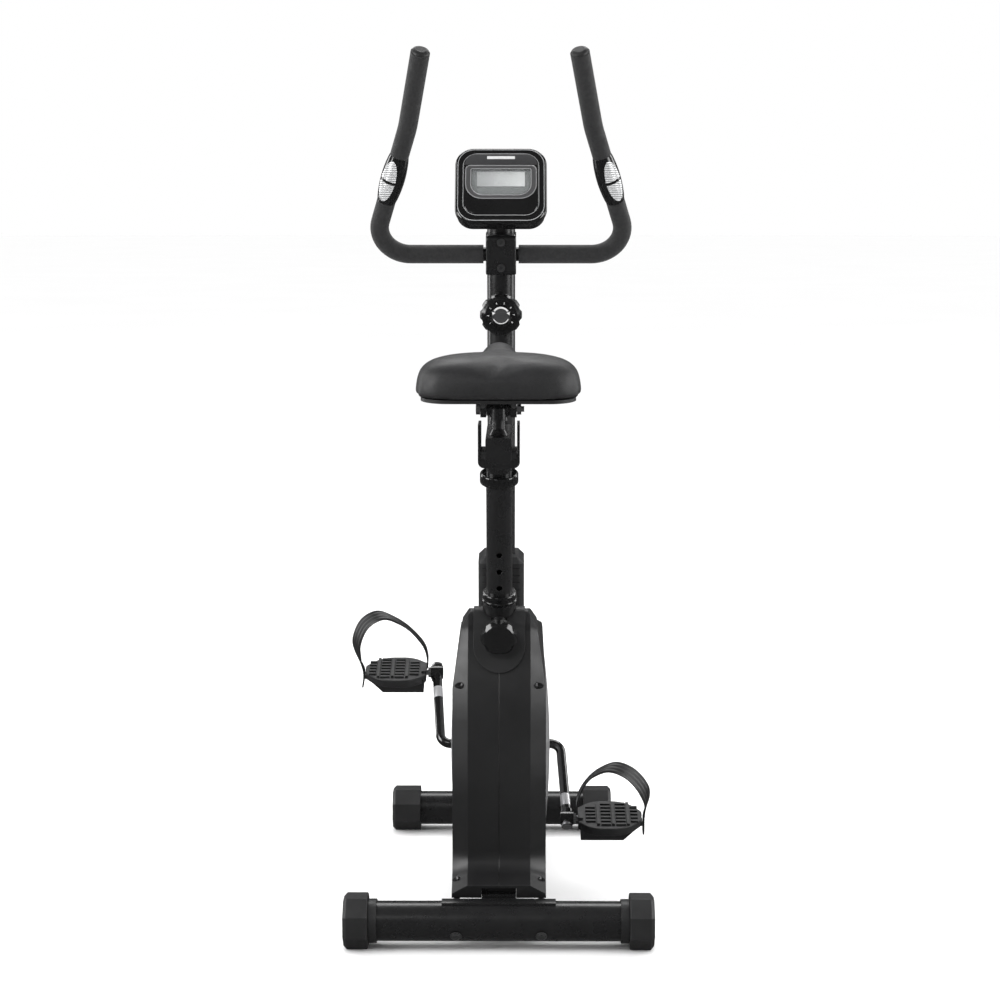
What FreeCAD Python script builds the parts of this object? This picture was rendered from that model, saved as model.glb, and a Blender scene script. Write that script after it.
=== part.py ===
import FreeCAD, Part
import math
import os
from FreeCAD import Placement, Rotation, Vector

# Upright magnetic exercise bike, millimetres.
# The bike is laid out from the rear stabiliser: +Y runs to its front, +X to the rider's right,
# +Z up from the floor.  Each sub-part is drawn in the layout of its own group (seat tube, mast,
# crank, pedal, console) and gets that group's Placement, which also moves the origin to the
# floor under the middle of the bike.

SIZES = {
    "origin_y": 297.5,
    # stabilisers
    "rear_tube_dia": 58, "rear_cap_flats": 76, "rear_cap_length": 36, "rear_half_length": 226,
    "sleeve_length": 12, "front_y": 634, "front_tube_dia": 57, "front_cap_dia": 71,
    "front_cap_length": 48, "front_half_length": 188, "tube_wall": 2,
    "rear_bolt_x": 62, "front_bolt_x": 45, "bolt_dia": 8, "bolt_climb": 29,
    "wheel_dia": 36, "wheel_width": 12, "wheel_x": 160, "wheel_y": 681, "wheel_z": 22,
    # welded frame
    "base_width": 50, "base_bottom": 71, "base_height": 18, "base_rear_y": 22, "base_front_y": 614,
    "plate_width": 166, "plate_wall": 3,
    # seat tube group: its origin is the top of the bush, its axis leans back
    "seat_lean": 15, "seat_top_y": 118, "seat_top_z": 505, "seat_tube_dia": 48,
    "post_dia": 38, "bush_flange_dia": 51, "bush_flange": 14,
    "bush_length": 92, "hole_step": 26.5, "pin_depth": 40, "pin_dia": 8,
    "seat_knob_dia": 54, "seat_knob_at": 62, "ring_dia": 56, "ring_height": 16.5, "ring_at": 173.7,
    # saddle and its slider
    "slider_side": 36, "slider_bottom": 717, "slider_rear_y": -72, "slider_front_y": 122,
    "saddle_pin_y": -26, "saddle_pin_dia": 18, "saddle_bottom": 807, "saddle_height": 56,
    "saddle_width": 232, "saddle_rear_y": -104, "saddle_nose_y": 160, "saddle_rise": 4,
    # crank, drive and brake
    "crank_y": 336, "crank_z": 221, "crank_angle": 45, "crank_length": 135, "crank_rod_dia": 15,
    "crank_bend_x": 95, "crank_eye_x": 104, "drive_dia": 160, "belt_x": 33, "belt_width": 8,
    "belt_thick": 2.5, "fly_y": 432, "fly_z": 168, "fly_dia": 152, "fly_width": 20,
    "fly_x": -26, "fly_pulley_dia": 32, "axle_dia": 12, "arm_pivot_y": 372, "arm_pivot_z": 264,
    # pedals
    "pedal_tilt": 13, "pedal_inner_x": 121, "pedal_width": 99, "pedal_depth": 92,
    "strap_width": 27, "strap_thick": 2.6,
    # mast and handlebar
    "mast_lean": 5, "mast_foot_y": 545, "mast_foot_z": 86, "mast_dia": 45, "mast_from": 180,
    "mast_to": 1020, "socket_dia": 50, "bar_at": 914, "bar_behind": 30,
    "bar_dia": 22, "foam_dia": 29.5, "foam_from_x": 28, "clamp_width": 48, "clamp_height": 64,
    "knob_at": 819, "knob_dia": 67,
    "corner_x": 207, "kink_x": 142, "kink_y": 318, "kink_z": 1190, "tip_x": 119, "tip_y": 243,
    "tip_z": 1298, "corner_radius": 48, "sensor_from": 103, "sensor_length": 84,
    # console: its layout has +Z out of the face and +Y up along it
    "console_tilt": 60, "console_y": 418, "console_z": 1101, "console_width": 145,
    "console_length": 136, "console_depth": 36,
    # shell
    "band_half_width": 46, "shell_half_width": 69, "bevel": 12, "shell_wall": 3,
    "disc_dia": 290, "disc_rise": 9,
}

doc = FreeCAD.newDocument("ExerciseBike")
SUBPARTS = []


# Heights of the two cross bolts up the mast, and places inside the shell.
MAST_BOLTS = (225, 313)
IDLER_Y = 392
IDLER_Z = 127.9
CABLE_SLOT_Y = 490
CABLE_SLOT_Z = 246


def make_sheet():
    """Puts every driving dimension in the spreadsheet, one named cell each."""
    cells = doc.addObject("Spreadsheet::Sheet", "Sizes")
    for row, (name, value) in enumerate(SIZES.items(), start=1):
        cells.set("A%d" % row, name)
        cells.set("B%d" % row, str(value))
        cells.setAlias("B%d" % row, name)
    doc.recompute()
    return cells


sheet = make_sheet()


def size(name):
    """A driving dimension as a number."""
    return float(getattr(sheet, name))


def bind(obj, **sizes):
    """Binds properties to expressions; a bare word in an expression is a cell of the sheet."""
    for prop, text in sizes.items():
        obj.setExpression(prop, cells_in(text))
    return obj


def cells_in(text):
    """Writes 'Sizes.' before each cell name of an expression."""
    words = str(text).split(" ")
    return " ".join("Sizes." + word if word in SIZES else word for word in words)


def put(obj, x=0, y=0, z=0, turn=None):
    """Places a primitive inside its group; each coordinate may be an expression."""
    if turn is not None:
        obj.Placement = Placement(Vector(), turn)
    for axis, text in (("x", x), ("y", y), ("z", z)):
        obj.setExpression("Placement.Base." + axis, cells_in(text))
    return obj


ALONG_X = Rotation(Vector(0, 1, 0), 90)
TOWARDS_RIDER = Rotation(Vector(1, 0, 0), 90)
FORWARD = Rotation(Vector(1, 0, 0), -90)


def box(length, width, height, x=0, y=0, z=0, turn=None):
    """A box with its lowest corner at x, y, z."""
    obj = doc.addObject("Part::Box", "Block")
    bind(obj, Length=length, Width=width, Height=height)
    return put(obj, x, y, z, turn)


def slab(half_width, width, height, y=0, z=0):
    """A box that is centred on the plane x = 0."""
    return box("2 * ( %s )" % half_width, width, height, "-1 * ( %s )" % half_width, y, z)


def rod(radius, height, x=0, y=0, z=0, turn=None):
    """A round bar that starts at x, y, z and runs along the turned Z axis."""
    obj = doc.addObject("Part::Cylinder", "Rod")
    bind(obj, Radius=radius, Height=height)
    return put(obj, x, y, z, turn)


def cone(low_radius, top_radius, height, x=0, y=0, z=0, turn=None):
    obj = doc.addObject("Part::Cone", "Cone")
    bind(obj, Radius1=low_radius, Radius2=top_radius, Height=height)
    return put(obj, x, y, z, turn)


def ring(x, y, z, centre_radius, bar_radius, turn=None):
    obj = doc.addObject("Part::Torus", "Ring")
    bind(obj, Radius1=centre_radius, Radius2=bar_radius)
    return put(obj, x, y, z, turn)


def prism(sides, corner_radius, height, x=0, y=0, z=0, turn=None):
    obj = doc.addObject("Part::Prism", "Prism")
    obj.Polygon = sides
    bind(obj, Circumradius=corner_radius, Height=height)
    return put(obj, x, y, z, turn)


def fuse(*shapes):
    if len(shapes) == 1:
        return shapes[0]
    obj = doc.addObject("Part::MultiFuse", "Join")
    obj.Shapes = list(shapes)
    return obj


def cut(base, *tools):
    obj = doc.addObject("Part::Cut", "Cut")
    obj.Base = base
    obj.Tool = fuse(*tools)
    return obj


def common(*shapes):
    obj = doc.addObject("Part::MultiCommon", "Common")
    obj.Shapes = list(shapes)
    return obj


def group(*shapes):
    """Several separate solids of one kind in one sub-part."""
    obj = doc.addObject("Part::Compound", "Group")
    obj.Links = list(shapes)
    return obj


def mirror(source):
    """The same shape on the other side of the bike."""
    obj = doc.addObject("Part::Mirroring", "Mirror")
    obj.Source = source
    obj.Base = Vector(0, 0, 0)
    obj.Normal = Vector(1, 0, 0)
    return obj


def round_edges(base, radius, chosen, kind="Part::Fillet"):
    """Fillets or chamfers the edges whose middle point passes the test."""
    doc.recompute()
    obj = doc.addObject(kind, "Soft")
    obj.Base = base
    edges = []
    for index, edge in enumerate(base.Shape.Edges, start=1):
        middle = edge.valueAt((edge.FirstParameter + edge.LastParameter) / 2)
        if chosen(middle):
            edges.append((index, radius, radius))
    obj.Edges = edges
    return obj


def made(shape, name="Made"):
    """A shape built with Part's own functions, with any move written into its geometry."""
    obj = doc.addObject("Part::Feature", name)
    move = shape.Placement.toMatrix()
    still = shape.copy()
    still.Placement = Placement()
    still.transformShape(move, True)
    obj.Shape = still
    return obj


def layout(y, z, lean=0.0, x=0.0):
    """The Placement of a group whose origin is at x, y, z and whose Z axis leans back."""
    return Placement(Vector(x, y - size("origin_y"), z), Rotation(Vector(1, 0, 0), lean))


BIKE = layout(0, 0)
SEAT = layout(size("seat_top_y"), size("seat_top_z"), size("seat_lean"))
MAST = layout(size("mast_foot_y"), size("mast_foot_z"), size("mast_lean"))
CRANK = layout(size("crank_y"), size("crank_z"), -size("crank_angle"))
CONSOLE = layout(size("console_y"), size("console_z"), size("console_tilt"))
CRANK_FORWARD = size("crank_length") * math.sin(math.radians(size("crank_angle")))
CRANK_UP = size("crank_length") * math.cos(math.radians(size("crank_angle")))
LEFT_PEDAL = layout(size("crank_y") + CRANK_FORWARD, size("crank_z") + CRANK_UP, size("pedal_tilt"))
RIGHT_PEDAL = layout(size("crank_y") - CRANK_FORWARD, size("crank_z") - CRANK_UP, size("pedal_tilt"))


def subpart(obj, label, where=BIKE):
    """Names a finished piece and puts it in place."""
    obj.Label = label
    obj.Placement = where
    SUBPARTS.append(obj)
    return obj


def tube_path(points, radii):
    """A wire of straight runs joined by arcs of the given radii at its inner points."""
    edges = []
    start = points[0]
    for before, corner, after, radius in zip(points, points[1:], points[2:], radii):
        to_before = (before - corner).normalize()
        to_after = (after - corner).normalize()
        half_turn = to_before.getAngle(to_after) / 2
        reach = radius / math.tan(half_turn)
        bisector = (to_before + to_after).normalize()
        enter = corner + to_before * reach
        leave = corner + to_after * reach
        middle = corner + bisector * (radius / math.sin(half_turn) - radius)
        edges.append(Part.LineSegment(start, enter).toShape())
        edges.append(Part.Arc(enter, middle, leave).toShape())
        start = leave
    edges.append(Part.LineSegment(start, points[-1]).toShape())
    return Part.Wire(edges)


def swept(wire, radius, inner=0.0):
    """A round bar, or a tube, along a wire."""
    first = wire.Edges[0]
    at = first.valueAt(first.FirstParameter)
    along = first.tangentAt(first.FirstParameter)
    solid = sweep_circle(wire, at, along, radius)
    if inner:
        solid = solid.cut(sweep_circle(wire, at, along, inner))
    return solid


def sweep_circle(wire, at, along, radius):
    circle = Part.Wire([Part.Circle(at, along, radius).toShape()])
    return wire.makePipeShell([circle], True, False)


def sketch_outline(body, name, role, corners, radii):
    """A closed sketch of straight runs with rounded corners on one of the body's planes."""
    plane = [item for item in body.Origin.OriginFeatures if item.Role == role][0]
    sketch = body.newObject("Sketcher::SketchObject", name)
    sketch.AttachmentSupport = [(plane, "")]
    sketch.MapMode = "FlatFace"
    points = [Vector(a, b, 0) for a, b in corners]
    count = len(points)
    ends = []
    for index, corner in enumerate(points):
        to_before = (points[index - 1] - corner).normalize()
        to_after = (points[(index + 1) % count] - corner).normalize()
        half_turn = to_before.getAngle(to_after) / 2
        radius = radii[index]
        reach = radius / math.tan(half_turn)
        enter = corner + to_before * reach
        leave = corner + to_after * reach
        ends.append((enter, leave))
        if radius:
            bisector = (to_before + to_after).normalize()
            middle = corner + bisector * (radius / math.sin(half_turn) - radius)
            sketch.addGeometry(Part.Arc(enter, middle, leave), False)
    for index in range(count):
        leave = ends[index][1]
        enter = ends[(index + 1) % count][0]
        sketch.addGeometry(Part.LineSegment(leave, enter), False)
    return sketch


def new_body(name):
    return doc.addObject("PartDesign::Body", name)


def pad(body, sketch, length, reversed_pad=False, midplane=False):
    feature = body.newObject("PartDesign::Pad", "Pad")
    feature.Profile = sketch
    feature.setExpression("Length", cells_in(length))
    feature.Reversed = reversed_pad
    feature.Midplane = midplane
    doc.recompute()
    return feature


def dress(body, kind, base, chosen, **values):
    """A PartDesign fillet or chamfer on the chosen edges."""
    names = []
    for index, edge in enumerate(base.Shape.Edges, start=1):
        middle = edge.valueAt((edge.FirstParameter + edge.LastParameter) / 2)
        if chosen(middle):
            names.append("Edge%d" % index)
    feature = body.newObject(kind, "Dress")
    feature.Base = (base, names)
    for prop, value in values.items():
        setattr(feature, prop, value)
    doc.recompute()
    return feature


def revolved(name, profile, role="XZ_Plane"):
    """A body turned about the Z axis from corners given as (radius, height)."""
    body = new_body(name)
    sketch = sketch_outline(body, name + "Profile", role, profile, [0] * len(profile))
    turn = body.newObject("PartDesign::Revolution", "Turn")
    turn.Profile = sketch
    turn.ReferenceAxis = (sketch, ["V_Axis"])
    turn.Angle = 360
    doc.recompute()
    return body


def turned_bar(body, turn):
    """A revolved body laid along another direction, as a plain shape for booleans."""
    body.Placement = Placement(Vector(), turn)
    return body


# --- stabilisers ---------------------------------------------------------------------------

REAR_Z = "rear_cap_flats / 2"
FRONT_Z = "front_cap_dia / 2"


def bolt_turn(sense):
    """Direction of a stabiliser bolt: it climbs from the outside of the tube to the frame."""
    climb = size("bolt_climb")
    return Rotation(Vector(1, 0, 0), -(90 - climb) if sense > 0 else (90 - climb))


def stabiliser_bolt(x, y, z, tube_dia, sense):
    """A domed bolt right through the tube and the frame plate, with washer and nut."""
    turn = bolt_turn(sense)
    axis = turn.multVec(Vector(0, 0, 1))
    reach = tube_dia / 2

    def spot(distance):
        return x, y + axis.y * distance, z + axis.z * distance
    shank = rod("bolt_dia / 2", 2 * reach + 17, *spot(-reach - 1), turn=turn)
    head = cone(4.5, 8.5, 3.2, *spot(-reach - 4), turn=turn)
    washer = rod(9, 1.6, *spot(reach + 3.4), turn=turn)
    nut = prism(6, 7.5, 6.5, *spot(reach + 5), turn=turn)
    cap = cone(6.2, 3.5, 4.5, *spot(reach + 11.5), turn=turn)
    return fuse(shank, head, washer, nut, cap)


def bolt_hole(x, y, z, sense, length=60):
    turn = bolt_turn(sense)
    start = turn.multVec(Vector(0, 0, -length))
    return rod("bolt_dia / 2 + 0.25", 2 * length, x, y + start.y, z + start.z, turn=turn)


def rear_stabiliser():
    reach = "rear_half_length - 12"
    outer = rod("rear_tube_dia / 2", "2 * ( %s )" % reach, "-1 * ( %s )" % reach, 0, REAR_Z, ALONG_X)
    inner = rod("rear_tube_dia / 2 - tube_wall", "2 * rear_half_length", "-1 * rear_half_length", 0,
                REAR_Z, ALONG_X)
    z = size("rear_cap_flats") / 2
    holes = [bolt_hole(side * size("rear_bolt_x"), 0, z, 1) for side in (-1, 1)]
    subpart(cut(outer, inner, *holes), "rear_stabiliser")


def front_stabiliser():
    reach = "front_half_length - 8"
    outer = rod("front_tube_dia / 2", "2 * ( %s )" % reach, "-1 * ( %s )" % reach, "front_y",
                FRONT_Z, ALONG_X)
    inner = rod("front_tube_dia / 2 - tube_wall", "2 * front_half_length",
                "-1 * front_half_length", "front_y", FRONT_Z, ALONG_X)
    z = size("front_cap_dia") / 2
    holes = [bolt_hole(side * size("front_bolt_x"), size("front_y"), z, -1) for side in (-1, 1)]
    subpart(cut(outer, inner, *holes), "front_stabiliser")


def rear_cap(side, label):
    """Octagonal levelling cap that turns on the tube's end."""
    corner = "rear_cap_flats / 2 / cos( 22.5 )"
    flat_down = ALONG_X.multiply(Rotation(Vector(0, 0, 1), 22.5))
    start = "rear_half_length - rear_cap_length"
    block = prism(8, corner, "rear_cap_length", start, 0, REAR_Z, flat_down)
    end = size("rear_half_length")
    soft = round_edges(block, 5, lambda middle: middle.x > end - 0.1, "Part::Chamfer")
    inner_edge = round_edges(soft, 1.5, lambda middle: middle.x < end - size("rear_cap_length") + 0.1,
                             "Part::Chamfer")
    bore = rod("rear_tube_dia / 2 + 0.08", "rear_cap_length - 11", start, 0, REAR_Z, ALONG_X)
    dimple = rod(20, 2, "rear_half_length - 2", 0, REAR_Z, ALONG_X)
    cap = cut(inner_edge, bore, dimple)
    subpart(cap if side > 0 else mirror(cap), label)


def cap_sleeves():
    start = "rear_half_length - rear_cap_length - sleeve_length - 0.3"
    outer = rod("rear_tube_dia / 2 + 3", "sleeve_length", start, 0, REAR_Z, ALONG_X)
    bore = rod("rear_tube_dia / 2 + 0.02", "sleeve_length", start, 0, REAR_Z, ALONG_X)
    sleeve = cut(outer, bore)
    subpart(group(sleeve, mirror(sleeve)), "rear_cap_sleeves")


def front_caps():
    """Octagonal end caps with two ears that carry a transport wheel."""
    start = "front_half_length - front_cap_length"
    corner = "front_cap_dia / 2 / cos( 22.5 )"
    flat_down = ALONG_X.multiply(Rotation(Vector(0, 0, 1), 22.5))
    block = prism(8, corner, "front_cap_length", start, "front_y", FRONT_Z, flat_down)
    end = size("front_half_length")
    soft = round_edges(block, 5, lambda middle: middle.x > end - 0.1, "Part::Chamfer")
    ear_gap = "wheel_width / 2 + 0.6"
    ears = []
    for x in ("wheel_x - %s - 3" % ear_gap, "wheel_x + %s" % ear_gap):
        ears.append(box(3, "wheel_y - front_y - 10", 20, x, "front_y + 18", "wheel_z - 10"))
        ears.append(rod(10, 3, x, "wheel_y", "wheel_z", ALONG_X))
    bore = rod("front_tube_dia / 2 + 0.02", "front_cap_length - 8", start, "front_y", FRONT_Z, ALONG_X)
    slot = box("wheel_width + 1.2", 40, 44, "wheel_x - wheel_width / 2 - 0.6",
               "wheel_y - wheel_dia / 2 - 1.5", "wheel_z - 22")
    pin_hole = rod(3.02, 40, "wheel_x - 20", "wheel_y", "wheel_z", ALONG_X)
    cap = cut(fuse(soft, *ears), bore, slot, pin_hole)
    subpart(group(cap, mirror(cap)), "front_caps")


def transport_wheel(side, label):
    half = size("wheel_width") / 2
    outer = size("wheel_dia") / 2
    profile = [(3.06, -half), (outer - 1.5, -half), (outer, -half + 1.5), (outer, half - 1.5),
               (outer - 1.5, half), (outer - 4, half), (outer - 6, half - 2), (8, half - 2),
               (7, half), (3.06, half)]
    body = revolved(label.title().replace("_", ""), profile)
    where = layout(size("wheel_y"), size("wheel_z"))
    where.Base.x = side * size("wheel_x")
    where.Rotation = Rotation(Vector(0, 1, 0), 90 * side)
    subpart(body, label, where)


def frame_fasteners():
    """Stabiliser bolts with their nuts, the mast's cross bolts and the wheel pins."""
    pieces = []
    for side in (-1, 1):
        pieces.append(stabiliser_bolt(side * size("rear_bolt_x"), 0, size("rear_cap_flats") / 2,
                                      size("rear_tube_dia"), 1))
        pieces.append(stabiliser_bolt(side * size("front_bolt_x"), size("front_y"),
                                      size("front_cap_dia") / 2, size("front_tube_dia"), -1))
        pin = rod(3, "wheel_width + 7.2", side * size("wheel_x") - size("wheel_width") / 2 - 3.6,
                  "wheel_y", "wheel_z", ALONG_X)
        pieces.append(pin)
    lean = math.radians(size("mast_lean"))
    for along in MAST_BOLTS:
        y = size("mast_foot_y") - along * math.sin(lean)
        z = size("mast_foot_z") + along * math.cos(lean)
        shank = rod(3.9, "socket_dia + 8", "-1 * socket_dia / 2 - 1", y, z, ALONG_X)
        head = prism(6, 7, 5, "-1 * socket_dia / 2 - 5.2", y, z, ALONG_X)
        nut = prism(6, 7, 5.5, "socket_dia / 2 + 0.2", y, z, ALONG_X)
        pieces.append(fuse(shank, head, nut))
    subpart(group(*pieces), "frame_fasteners")


# --- welded frame --------------------------------------------------------------------------

def saddle_plate(y, z, tube_dia, half_width, sense):
    """Curved plate that wraps the upper side of a stabiliser towards the bike's middle."""
    inner = tube_dia / 2 + 0.1
    outer = inner + size("plate_wall")
    tube = rod(outer, 2 * half_width, -half_width, y, z, ALONG_X)
    low = z + 4
    depth = outer + 11
    start = y - 11 if sense > 0 else y - outer
    keep = box(2 * half_width, depth, outer, -half_width, start, low)
    return common(tube, keep)


def main_frame():
    rear_z = size("rear_cap_flats") / 2
    front_z = size("front_cap_dia") / 2
    front_y = size("front_y")
    half = "base_width / 2"
    solid = [
        slab(half, "base_front_y - base_rear_y", "base_height", "base_rear_y", "base_bottom"),
        slab(half, 26, 12, 10, 62),
        slab(half, 26, 14, "front_y - 34", 59),
        saddle_plate(0, rear_z, size("rear_tube_dia"), size("plate_width") / 2, 1),
        saddle_plate(front_y, front_z, size("front_tube_dia"), 65, -1),
        seat_axis_rod("seat_tube_dia / 2", 16, 415),
        rod(19, 48, -24, "crank_y", "crank_z", ALONG_X),
        slab(14, 130, 30, 190, "crank_z - 15"),
        slab(14, 372, 30, 158, 322),
        slab(11, 24, 96, "crank_y - 12", "crank_z + 10"),
        mast_axis_rod("socket_dia / 2", -4, 330),
        across_seat_tube(10, 20, 44),
        box(78, 34, 5, -34, "fly_y - 17", "base_bottom + base_height - 4"),
        box(4, 34, 96, -34, "fly_y - 17", "base_bottom + base_height - 4"),
        box(4, 34, 96, 44, "fly_y - 17", "base_bottom + base_height - 4"),
        slab(8, 30, 16, "crank_y + 6", "arm_pivot_z - 8"),
        rod(4, 26, -30, "arm_pivot_y", "arm_pivot_z", ALONG_X),
        box(6, 12, 48, 41, "fly_y - 32", "base_bottom + base_height - 4"),
        box(4, 52, 12, 44, "fly_y - 60", "base_bottom + base_height + 6"),
        box(4, 16, 46, 44, IDLER_Y - 8, IDLER_Z - 38),
        rod(4, 17, 27, IDLER_Y, IDLER_Z, ALONG_X),
    ]
    holes = [
        rod("rear_tube_dia / 2 + 0.1", 300, -150, 0, rear_z, ALONG_X),
        rod("front_tube_dia / 2 + 0.1", 300, -150, front_y, front_z, ALONG_X),
        slab("base_width / 2 - tube_wall", "base_front_y - base_rear_y - 4", "base_height - 4",
             "base_rear_y + 2", "base_bottom + 2"),
        seat_axis_rod("seat_tube_dia / 2 - tube_wall", 0, 400),
        rod(14.5, 60, -30, "crank_y", "crank_z", ALONG_X),
        mast_axis_rod("mast_dia / 2 + 0.1", 20, 340),
        rod("axle_dia / 2 + 0.02", 100, -40, "fly_y", "fly_z", ALONG_X),
        across_seat_tube("pin_dia / 2 + 0.06", 0, 60),
        box(30, 60, 26, -15, CABLE_SLOT_Y, CABLE_SLOT_Z),
    ]
    for side in (-1, 1):
        holes.append(bolt_hole(side * size("rear_bolt_x"), 0, rear_z, 1))
        holes.append(bolt_hole(side * size("front_bolt_x"), front_y, front_z, -1))
    lean = math.radians(size("mast_lean"))
    for along in MAST_BOLTS:
        y = size("mast_foot_y") - along * math.sin(lean)
        z = size("mast_foot_z") + along * math.cos(lean)
        holes.append(rod(4, 80, -40, y, z, ALONG_X))
    subpart(cut(fuse(*solid), *holes), "main_frame")


def seat_axis_rod(radius, top_gap, length):
    """A round bar down the seat tube's axis, in the bike's layout."""
    lean = math.radians(size("seat_lean"))
    y = size("seat_top_y") + (top_gap + length) * math.sin(lean)
    z = size("seat_top_z") - (top_gap + length) * math.cos(lean)
    return rod(radius, length, 0, y, z, Rotation(Vector(1, 0, 0), size("seat_lean")))


def mast_axis_rod(radius, start, end):
    """A round bar up the mast's axis, in the bike's layout."""
    lean = math.radians(size("mast_lean"))
    y = size("mast_foot_y") - start * math.sin(lean)
    z = size("mast_foot_z") + start * math.cos(lean)
    return rod(radius, end - start, 0, y, z, Rotation(Vector(1, 0, 0), size("mast_lean")))


def across_seat_tube(radius, start, end):
    """A round bar out of the back of the seat tube at the pull pin, in the bike's layout."""
    lean = math.radians(size("seat_lean"))
    depth = size("pin_depth")
    y = size("seat_top_y") + depth * math.sin(lean) - start * math.cos(lean)
    z = size("seat_top_z") - depth * math.cos(lean) - start * math.sin(lean)
    return rod(radius, end - start, 0, y, z, Rotation(Vector(1, 0, 0), 90 + size("seat_lean")))


def seat_bush():
    """Plastic sleeve with a flange that guides the seat post in its tube."""
    flange = rod("bush_flange_dia / 2", "bush_flange", 0, 0, "-1 * bush_flange")
    soft = round_edges(flange, 2, lambda middle: middle.z > -1)
    lip = ring(0, 0, "-1 * bush_flange + 3", "bush_flange_dia / 2 - 0.4", 1.6)
    sleeve = rod("seat_tube_dia / 2 - tube_wall - 0.05", "bush_length", 0, 0, "-1 * bush_length")
    bore = rod("post_dia / 2 + 0.06", 200, 0, 0, -150)
    hole = rod("pin_dia / 2 + 0.06", 60, 0, 0, "-1 * pin_depth", TOWARDS_RIDER)
    subpart(cut(fuse(soft, lip, sleeve), bore, hole), "seat_bush", SEAT)


def handlebar_post():
    """Steel mast with the half cradle for the bar, mitred to the console's back."""
    tube = rod("mast_dia / 2", "mast_to - mast_from", 0, 0, "mast_from")
    cradle = slab("clamp_width / 2", "bar_behind + 6", "clamp_height", "-1 * bar_behind",
                  "bar_at - clamp_height / 2")
    soft = round_edges(cradle, 5, lambda middle: abs(middle.x) > 23 and middle.y > -1)
    inner = rod("mast_dia / 2 - tube_wall", "mast_to - mast_from", 0, 0, "mast_from")
    bar = rod("bar_dia / 2 + 0.06", 80, -40, "-1 * bar_behind", "bar_at", ALONG_X)
    tools = [inner, bar, console_back_space(), rod(4, 40, 0, 0, "knob_at", TOWARDS_RIDER)]
    for offset in (-20, 20):
        tools.append(rod(3.6, 30, 0, -10, "bar_at + %d" % offset, TOWARDS_RIDER))
    for along in MAST_BOLTS:
        tools.append(rod(4, 80, -40, 0, along, ALONG_X))
    subpart(cut(fuse(tube, soft), *tools), "handlebar_post", MAST)


def console_back_space():
    """Everything on the rider's side of the console's back, in the mast's layout."""
    block = Part.makeBox(300, 300, 200, Vector(-150, -150, -size("console_depth") - 0.2))
    block.Placement = MAST.inverse().multiply(CONSOLE)
    return made(block, "ConsoleSpace")


def clamp_cover():
    """Curved outer half of the handlebar clamp."""
    width = size("clamp_width")
    height = size("clamp_height")
    block = slab("clamp_width / 2", 18.5, "clamp_height", "-1 * bar_behind - 18.8",
                 "bar_at - clamp_height / 2")
    middle_z = size("bar_at")
    soft = round_edges(block, 9, lambda middle: middle.y < -48 and abs(middle.z - middle_z) > 30)
    sides = round_edges(soft, 3, lambda middle: abs(middle.x) > width / 2 - 1 and
                        abs(middle.z - middle_z) < height / 2 - 8)
    bar = rod("bar_dia / 2 + 0.06", 80, -40, "-1 * bar_behind", "bar_at", ALONG_X)
    tools = [bar]
    for offset in (-20, 20):
        tools.append(rod(3.6, 30, 0, "-1 * bar_behind + 5", "bar_at + %d" % offset, TOWARDS_RIDER))
        tools.append(rod(6.8, 30, 0, "-1 * bar_behind - 13.8", "bar_at + %d" % offset, TOWARDS_RIDER))
    subpart(cut(sides, *tools), "clamp_cover", MAST)


def clamp_bolts():
    pieces = []
    for offset in (-20, 20):
        at = "bar_at + %d" % offset
        shank = rod(3.5, 24, 0, "-1 * bar_behind + 10", at, TOWARDS_RIDER)
        head = rod(6.5, 6.5, 0, "-1 * bar_behind - 14", at, TOWARDS_RIDER)
        socket = prism(6, 3.4, 4, 0, "-1 * bar_behind - 17", at, TOWARDS_RIDER)
        pieces.append(cut(fuse(shank, head), socket))
    subpart(group(*pieces), "clamp_bolts", MAST)


# --- tension knob ----------------------------------------------------------------------------

def tension_knob_base():
    body = cone(27, 25, 15, 0, "-1 * mast_dia / 2 + 3", "knob_at", TOWARDS_RIDER)
    mast = rod("mast_dia / 2 + 0.05", 80, 0, 0, "knob_at - 40")
    spindle = rod(5, 12, 0, "-1 * mast_dia / 2 - 6", "knob_at", TOWARDS_RIDER)
    hole = rod(2.7, 60, 0, 0, "knob_at", TOWARDS_RIDER)
    clip = slab(30, 6, 10, "-1 * mast_dia / 2 - 8", "knob_at - 5")
    subpart(cut(fuse(body, spindle, clip), mast, hole), "tension_knob_base", MAST)


def tension_knob():
    """Scalloped dial on the back of the mast; its Z axis points at the rider."""
    body = new_body("KnobBody")
    radius = size("knob_dia") / 2
    corners = [(0, 4), (24, 4), (24, 0), (radius - 2, 0), (radius, 3), (radius, 13),
               (radius - 3, 19), (radius - 8, 21.5), (17, 21.5), (16, 19), (0, 19)]
    sketch = sketch_outline(body, "KnobProfile", "XZ_Plane", corners, [0] * len(corners))
    turn = body.newObject("PartDesign::Revolution", "Turn")
    turn.Profile = sketch
    turn.ReferenceAxis = (sketch, ["V_Axis"])
    turn.Angle = 360
    doc.recompute()
    scallops = []
    for step in range(10):
        angle = math.radians(36 * step + 18)
        scallops.append(rod(7, 40, (radius + 4.2) * math.cos(angle),
                            (radius + 4.2) * math.sin(angle), -5))
    bore = rod(5.06, 9, 0, 0, 0)
    where = MAST.multiply(Placement(Vector(0, -size("mast_dia") / 2 - 14, size("knob_at")),
                                    TOWARDS_RIDER))
    subpart(cut(body, bore, *scallops), "tension_knob", where)


def tension_cable():
    """Brake cable from the knob down inside the mast and out to the magnet bracket."""
    top = size("knob_at")
    points = [Vector(0, -24, top), Vector(0, 8, top), Vector(0, 8, 182), Vector(0, -32, 168)]
    wire = tube_path(points, (18, 12))
    subpart(made(swept(wire, 2.5), "Cable"), "tension_cable", MAST)


# --- shell -------------------------------------------------------------------------------------

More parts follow.
